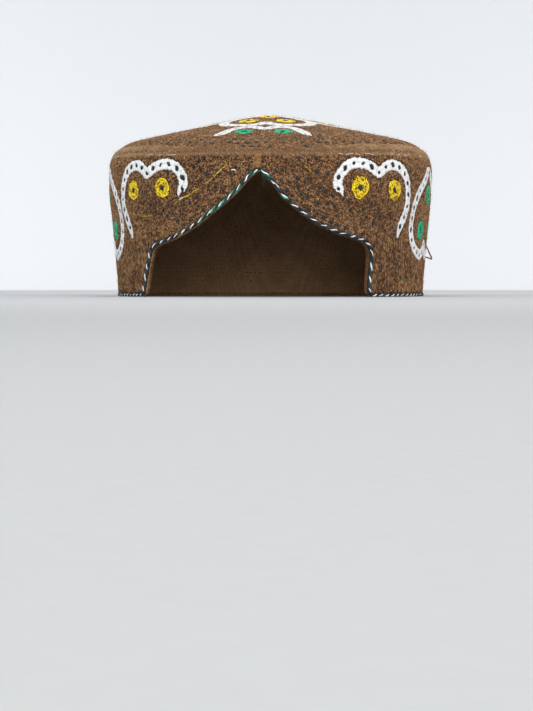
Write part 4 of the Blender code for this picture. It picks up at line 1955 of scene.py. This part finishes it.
@dataclass
class LooseThreads:
    """Stray threads, the running stitch, the join patch, a pulled loop, fuzz and the stitches' back."""

    form: CapForm
    seed: int = 53
    yellow_strays: tuple[tuple[float, Table], ...] = (
        # radius, route
        (0.00017, ((-0.0264, 0.0553), (-0.0246, 0.0568), (-0.0230, 0.0581))),
        (0.00022, ((-0.0224, 0.0584), (-0.0208, 0.0600), (-0.0194, 0.0608), (-0.0184, 0.0620))),
        (0.00015, ((-0.0180, 0.0624), (-0.0168, 0.0634), (-0.0156, 0.0643))),
        (0.00017, ((-0.0450, 0.0456), (-0.0440, 0.0465), (-0.0430, 0.0471))),
        (0.00025, ((-0.0420, 0.0474), (-0.0400, 0.0486), (-0.0372, 0.0494), (-0.0352, 0.0506))),
        (0.00018, ((-0.0346, 0.0508), (-0.0326, 0.0519), (-0.0303, 0.0527))),
        (0.00012, ((-0.0728, 0.0408), (-0.0675, 0.0404), (-0.0623, 0.0407))),
        (0.00012, ((0.0213, 0.0634), (0.0232, 0.0619), (0.0248, 0.0604))),
    )
    specks: Table = ((0.0686, 0.0107), (0.0938, 0.0088))
    speck_half: float = 0.0009
    white_strays: tuple[tuple[float, float, Table], ...] = (
        # radius, lift, route
        (0.00032, 0.0006, ((-0.0138, 0.0616), (-0.0126, 0.0617), (-0.0116, 0.0613))),
        (0.00026, 0.0011, ((-0.0416, 0.0478), (-0.0406, 0.0484), (-0.0394, 0.0489))),
    )
    front_dashes: Table = (
        (-0.0640, -0.0605), (-0.0560, -0.0535), (-0.0500, -0.0440), (0.0385, 0.0415), (0.0425, 0.0475),
        (0.0485, 0.0515), (0.0545, 0.0610), (0.0740, 0.0760), (0.0790, 0.0822), (0.0850, 0.0895),
    )
    dashes_from: float = 0.100
    loop_route: tuple[Triple, ...] = (
        (0.0824, 0.0024, 0.0284), (0.0838, 0.0022, 0.0264), (0.0852, 0.0021, 0.0234),
        (0.0866, 0.0022, 0.0200), (0.0849, 0.0024, 0.0205), (0.0824, 0.0026, 0.0212),
    )
    loop_radius: float = 0.00042
    patch_arc: float = -0.0012
    patch_heights: Triple = (0.0628, 0.0694, 0.00044)
    patch_stitch: Stitch = Stitch(0.0042, 0.00080, 0.00085, 0.8, 1.15)
    patch_columns: Triple = (-0.0027, -0.0014, 0.0001)
    patch_column_size: Triple = (0.0019, 0.0005, 0.0005)
    hairs: int = 2600
    hair_width: float = 0.00009
    inside_step: float = 0.0030
    inside_row_step: float = 0.0023
    inside_stitch: Stitch = Stitch(0.0023, 0.0007, 0.0005, 0.75, 1.2)

    def __post_init__(self) -> None:
        """Makes both patterns and starts the random draws."""
        self.band = BandPattern(self.form)
        self.top = TopPattern(self.form)
        self.rng = np.random.default_rng(self.seed)

    def strays(self) -> None:
        """The yellow threads over the left front, and two green specks."""
        yellow = ThreadWork("stray_yellow_threads", YELLOW_THREAD, Slot.BAND, sides=5)
        for radius, route in self.yellow_strays:
            flat = smooth_line(route, 0.0005)
            lift = 0.00060 + 0.00025 * np.sin(np.linspace(0, math.pi, len(flat)))
            yellow.add(self.band.lifted(flat, lift), radius, 0.60 + 0.3 * np.sin(np.arange(len(flat)) * 1.3))
        yellow.realise()
        green = ThreadWork("green_specks", GREEN_THREAD, Slot.BAND, sides=5)
        for arc, height in self.specks:
            low, high = height - self.speck_half, height + self.speck_half
            flat = smooth_line(((arc, low), (arc + 0.0002, height), (arc, high)), 0.0003)
            green.add(self.band.lifted(flat, 0.00045), 0.00026, 0.1)
        green.realise()

    def running_stitch(self) -> None:
        """The running stitch's dashes under the seam, at the front where they show, and two white strays."""
        pale = ThreadWork("seam_running_stitch", WHITE_THREAD, Slot.BAND, sides=5)
        for radius, lift, route in self.white_strays:
            pale.add(self.band.lifted(smooth_line(route, 0.0004), lift), radius, 0.6)
        dashes = [(low, high - low) for low, high in self.front_dashes]
        arc = self.dashes_from
        while arc < 2 * self.form.half_arc - self.dashes_from:
            length = self.rng.uniform(0.0016, 0.0050)
            if self.rng.uniform() < 0.55:
                dashes.append((arc, length))
            arc += length + self.rng.uniform(0.0015, 0.0070)
        for start, length in dashes:
            places = np.linspace(start, start + length, max(4, round(length / 0.0007)))
            height = self.form.seam(self.form.angle(places)) + 0.0003 * np.sin(places * 700)
            lift = 0.00052 + 0.00018 * np.sin(np.linspace(0, math.pi, len(places)))
            pale.add(self.band.lifted(np.stack([places, height], -1), lift), 0.00014, 0.0)
        pale.realise()

    def pulled_loop(self) -> None:
        """The brown thread that stands off the right side as a small open loop."""
        work = ThreadWork("pulled_loop", BROWN_THREAD, Slot.BAND, sides=6)
        work.add(smooth_line(np.array(self.loop_route), 0.0004), self.loop_radius, 0.36)
        work.realise()

    def join_patch(self) -> None:
        """The tan overcasting over the peak, where the two ends of the band meet."""
        work = StitchWork("front_join_stitches", TAN_THREAD, Slot.BAND, rings=3, wander=0.15)
        heights = np.arange(*self.patch_heights)
        count = len(heights)
        flat = np.stack([np.full(count, self.patch_arc), heights], -1)
        flat = flat + self.rng.normal(0, 0.00015, flat.shape)
        way = np.tile([1.0, 0.12], (count, 1))
        size = self.patch_stitch.sizes(self.rng, count)
        tone = np.clip(self.rng.normal(0.38, 0.20, count), 0, 1)
        work.sew(self.band, flat, way, 0.00046, size, tone)
        count = 6
        for arc in self.patch_columns:
            flat = np.stack([np.full(count, arc), np.linspace(0.0632, 0.0688, count)], -1)
            flat = flat + self.rng.normal(0, 0.0002, (count, 2))
            way = np.tile([0.1, 1.0], (count, 1))
            work.sew(self.band, flat, way, 0.00074, np.array(self.patch_column_size), 0.50)
        work.realise()

    def fuzz(self) -> None:
        """Short fibres that stand off the cloth."""
        work = StitchWork("fuzz", BROWN_THREAD, Slot.BAND, sides=3, wander=0.3)
        count, half_arc = self.hairs, self.form.half_arc
        arcs = self.rng.uniform(-half_arc, half_arc, count)
        band = np.stack([arcs, self.rng.uniform(0.002, 0.072, count)], -1)
        band = band[Field(self.form, []).on_band(band, 0.002)]
        turn = self.rng.uniform(0, TURN, count)
        share = np.sqrt(self.rng.uniform(0, 1, count))
        top = np.stack([np.sin(turn), np.cos(turn)], -1) * share[:, None] * self.form.top_half_axes * 0.995
        for pattern, flat in ((self.band, band), (self.top, top)):
            way = self.rng.normal(size=flat.shape)
            along, out = pattern.heading(flat, way)
            lean = self.rng.uniform(0.2, 0.9, (len(flat), 1))
            length = self.rng.uniform(0.0011, 0.0026, len(flat))
            hair = unit(along * (1 - lean) + out * lean)
            width = np.full(len(flat), self.hair_width)
            size = np.stack([length, width, width], -1)
            spot = pattern.lifted(flat, 0.0003) + hair * (length * 0.42)[:, None]
            work.add(spot, hair, unit(np.cross(hair, along + 0.01)), size, 0.75)
        work.realise()

    def inside_stitches(self) -> None:
        """The rows of small stitches that come through to the inside of the band."""
        work = StitchWork("inside_stitches", BROWN_THREAD, Slot.BAND, wander=0.2)
        columns = np.arange(-self.form.half_arc, self.form.half_arc, self.inside_step)
        flat = np.concatenate([
            np.stack([columns + (k % 2) * 0.0015, np.full(len(columns), height)], -1)
            for k, height in enumerate(np.arange(0.004, 0.070, self.inside_row_step))
        ])
        flat = flat + self.rng.normal(0, 0.0003, flat.shape)
        flat = flat[Field(self.form, []).on_band(flat, 0.0035)]
        count = len(flat)
        along, out = self.band.heading(flat, np.tile([1.0, 0.0], (count, 1)))
        spot = self.band.surface(flat) - out * (self.form.wall + 0.00005)
        size = self.inside_stitch.sizes(self.rng, count)
        work.add(spot, along, -out, size, np.clip(self.rng.normal(0.75, 0.2, count), 0, 1))
        work.realise()

    def build(self) -> None:
        """Makes every loose thread."""
        self.strays()
        self.running_stitch()
        self.pulled_loop()
        self.join_patch()
        self.fuzz()
        self.inside_stitches()


@dataclass(frozen=True)
class PaperFinish(Finish):
    """Studio paper with a fine grain and painted light and shade: dark in a broad ring about the stage's
    middle and lighter beside it, which sets how bright the floor shows.
    """

    grain: float = 900.0
    grain_detail: float = 2.0
    grain_share: float = 0.15
    # The ring of painted shade: its radius, the distances from it over which it fades, and the lightest share
    # beside it.
    ring: float = 0.85
    shade_ring_edge: tuple[float, float] = (0.10, 0.55)
    lightest: float = 0.85
    roughness: float = 0.9
    specular: float = 0.1

    def write(self, nodes: Nodes, shader: bpy.types.Node) -> None:
        """Writes the ring and the grain.

        Args:
            nodes: the material's nodes.
            shader: its shader.
        """
        place = nodes.add("ShaderNodeTexCoord").outputs["Object"]
        grain = nodes.add(
            "ShaderNodeTexNoise", {"Vector": place, "Scale": self.grain, "Detail": self.grain_detail}
        ).outputs["Fac"]
        away = nodes.add("ShaderNodeVectorMath", {0: place}, operation="LENGTH").outputs["Value"]
        # Painted light and shade: the paper is darker in a broad ring about the middle, and lighter round the
        # cap and far off.
        low, high = self.shade_ring_edge
        shade_ring = nodes.out(
            "ShaderNodeMapRange",
            {"Value": nodes.math("ABSOLUTE", nodes.math("SUBTRACT", away, self.ring)),
             "From Min": low, "From Max": high, "To Min": 0.0, "To Max": self.lightest},
            interpolation_type="SMOOTHSTEP",
        )
        share = nodes.math("ADD", shade_ring, nodes.math("MULTIPLY", grain, self.grain_share))
        nodes.feed(shader, {
            "Base Color": nodes.blend(share, self.dark, self.light),
            "Roughness": self.roughness,
            "Specular IOR Level": self.specular,
        })


@dataclass(frozen=True)
class SoftLight:
    """A soft square light: its place, the point it faces, its edge, its power in watts and its colour."""

    name: str
    place: Triple
    target: Triple
    size: float
    power: float
    colour: RGB

    def build(self) -> None:
        """Adds the light to the scene."""
        data = bpy.data.lights.new(self.name, "AREA")
        data.shape = "SQUARE"
        data.size = self.size
        data.energy = self.power
        data.color = self.colour
        lamp = bpy.data.objects.new(self.name, data)
        lamp.location = self.place
        lamp.rotation_euler = (Vector(self.target) - Vector(self.place)).to_track_quat("-Z", "Y").to_euler()
        bpy.context.scene.collection.objects.link(lamp)


CAP_MIDDLE = (0.0, 0.0, 0.05)
STUDIO_PAPER = PaperFinish("studio_paper", (0.350, 0.355, 0.360), (0.490, 0.495, 0.505))
LIGHTS = (
    SoftLight("key", (-1.1, -1.5, 1.1), CAP_MIDDLE, 1.2, 15.5, (0.925, 1.0, 0.965)),
    SoftLight("fill", (1.3, -1.4, 0.8), CAP_MIDDLE, 1.2, 15.0, (1.0, 0.960, 0.945)),
    SoftLight("front", (0.1, -1.65, 0.5), CAP_MIDDLE, 0.7, 12.0, (1.0, 0.99, 0.975)),
    SoftLight("overhead", (0.0, 0.1, 1.9), CAP_MIDDLE, 1.6, 12.0, (1.0, 1.0, 0.99)),
    SoftLight("backdrop_left", (-1.2, 0.9, 1.1), (-0.6, 2.6, 0.5), 1.0, 25.0, (0.97, 0.985, 1.0)),
    SoftLight("backdrop_right", (1.2, 0.9, 1.1), (0.6, 2.6, 0.5), 1.0, 25.0, (0.97, 0.985, 1.0)),
    SoftLight("far_floor", (0.0, 1.0, 1.6), (0.0, 1.1, 0.0), 1.6, 6.0, (0.98, 0.99, 1.0)),
)


@dataclass
class Studio:
    """A pale round floor that turns up into a low wall, soft lights, and the photograph's camera angle."""

    floor_rings: tuple[float, ...] = (0.25, 0.6, 1.0, 1.3)
    wall_radius: float = 2.9
    wall_height: float = 1.9
    wall_steps: int = 24
    sides: int = 96
    sky: tuple[float, float, float, float] = (0.93, 0.96, 1.0, 1.0)
    sky_strength: float = 0.55
    focal_px: float = 1852.0
    image: tuple[int, int] = (533, 711)
    sensor: float = 36.0
    clip: tuple[float, float] = (0.01, 50.0)
    distance: float = 1.0
    azimuth: float = math.radians(3.0)
    camera_height: float = 0.0060
    shift_across: float = -0.0023
    rim_row: float = 296.0

    def cove(self) -> None:
        """A round floor that curves up into a low wall all round, so that no view shows its end."""
        sides, floor_radius = self.sides, self.floor_rings[-1]
        bend = self.wall_radius - floor_radius
        profile = [(radius, 0.0) for radius in self.floor_rings]
        for k in range(1, self.wall_steps + 1):
            turn = math.pi / 2 * k / self.wall_steps
            profile.append((floor_radius + bend * math.sin(turn), bend * (1 - math.cos(turn))))
        profile.append((self.wall_radius, self.wall_height))
        points = [(0.0, 0.0, 0.0)]
        for radius, height in profile:
            points += [
                (radius * math.cos(TURN * k / sides), radius * math.sin(TURN * k / sides), height)
                for k in range(sides)
            ]
        faces = [(0, 1 + k, 1 + (k + 1) % sides) for k in range(sides)]
        for ring in range(len(profile) - 1):
            for k in range(sides):
                a, b = 1 + ring * sides + k, 1 + ring * sides + (k + 1) % sides
                faces.append((a, a + sides, b + sides, b))
        floor = mesh_object("studio_cove", np.array(points), faces, STUDIO_PAPER.material())
        bpy.context.scene.collection.objects.link(floor)

    def surroundings(self) -> None:
        """The soft light from all round."""
        world = bpy.data.worlds.new("studio")
        world.use_nodes = True
        ground = world.node_tree.nodes["Background"]
        ground.inputs["Color"].default_value = self.sky
        ground.inputs["Strength"].default_value = self.sky_strength
        bpy.context.scene.world = world

    def camera(self) -> None:
        """The camera: a little above the floor, tipped so that the cap sits high in the frame."""
        data = bpy.data.cameras.new("camera")
        data.sensor_fit = "AUTO"
        data.sensor_width = self.sensor
        data.lens = self.focal_px * data.sensor_width / max(self.image)
        data.clip_start, data.clip_end = self.clip
        made = bpy.data.objects.new("camera", data)
        made.location = (
            self.distance * math.sin(self.azimuth) + self.shift_across,
            -self.distance * math.cos(self.azimuth),
            self.camera_height,
        )
        level_row = self.rim_row - self.focal_px * self.camera_height / self.distance
        tip = math.atan((self.image[1] / 2 - level_row) / self.focal_px)
        made.rotation_euler = (math.pi / 2 - tip, 0.0, self.azimuth)
        bpy.context.scene.collection.objects.link(made)
        bpy.context.scene.camera = made

    def build(self) -> None:
        """Sets the whole stage."""
        self.cove()
        self.surroundings()
        for light in LIGHTS:
            light.build()
        bpy.context.scene.view_settings.view_transform = "Standard"
        self.camera()


def main() -> None:
    """Builds every part of the cap in order."""
    logging.basicConfig(level=logging.INFO, format="%(message)s")
    form = CapForm()
    Studio().build()
    shells = Shells(form)
    shells.build("side_band", "band_cloth", Slot.BAND, GROUND_CLOTH)
    shells.build("top_panel", "top_cloth", Slot.TOP, TOP_GROUND_CLOTH)
    motifs = Motifs(form).all()
    Needlework(motifs).build()
    Field(form, motifs).build()
    Edging(form).build()
    LooseThreads(form).build()


if __name__ == "__main__":
    main()
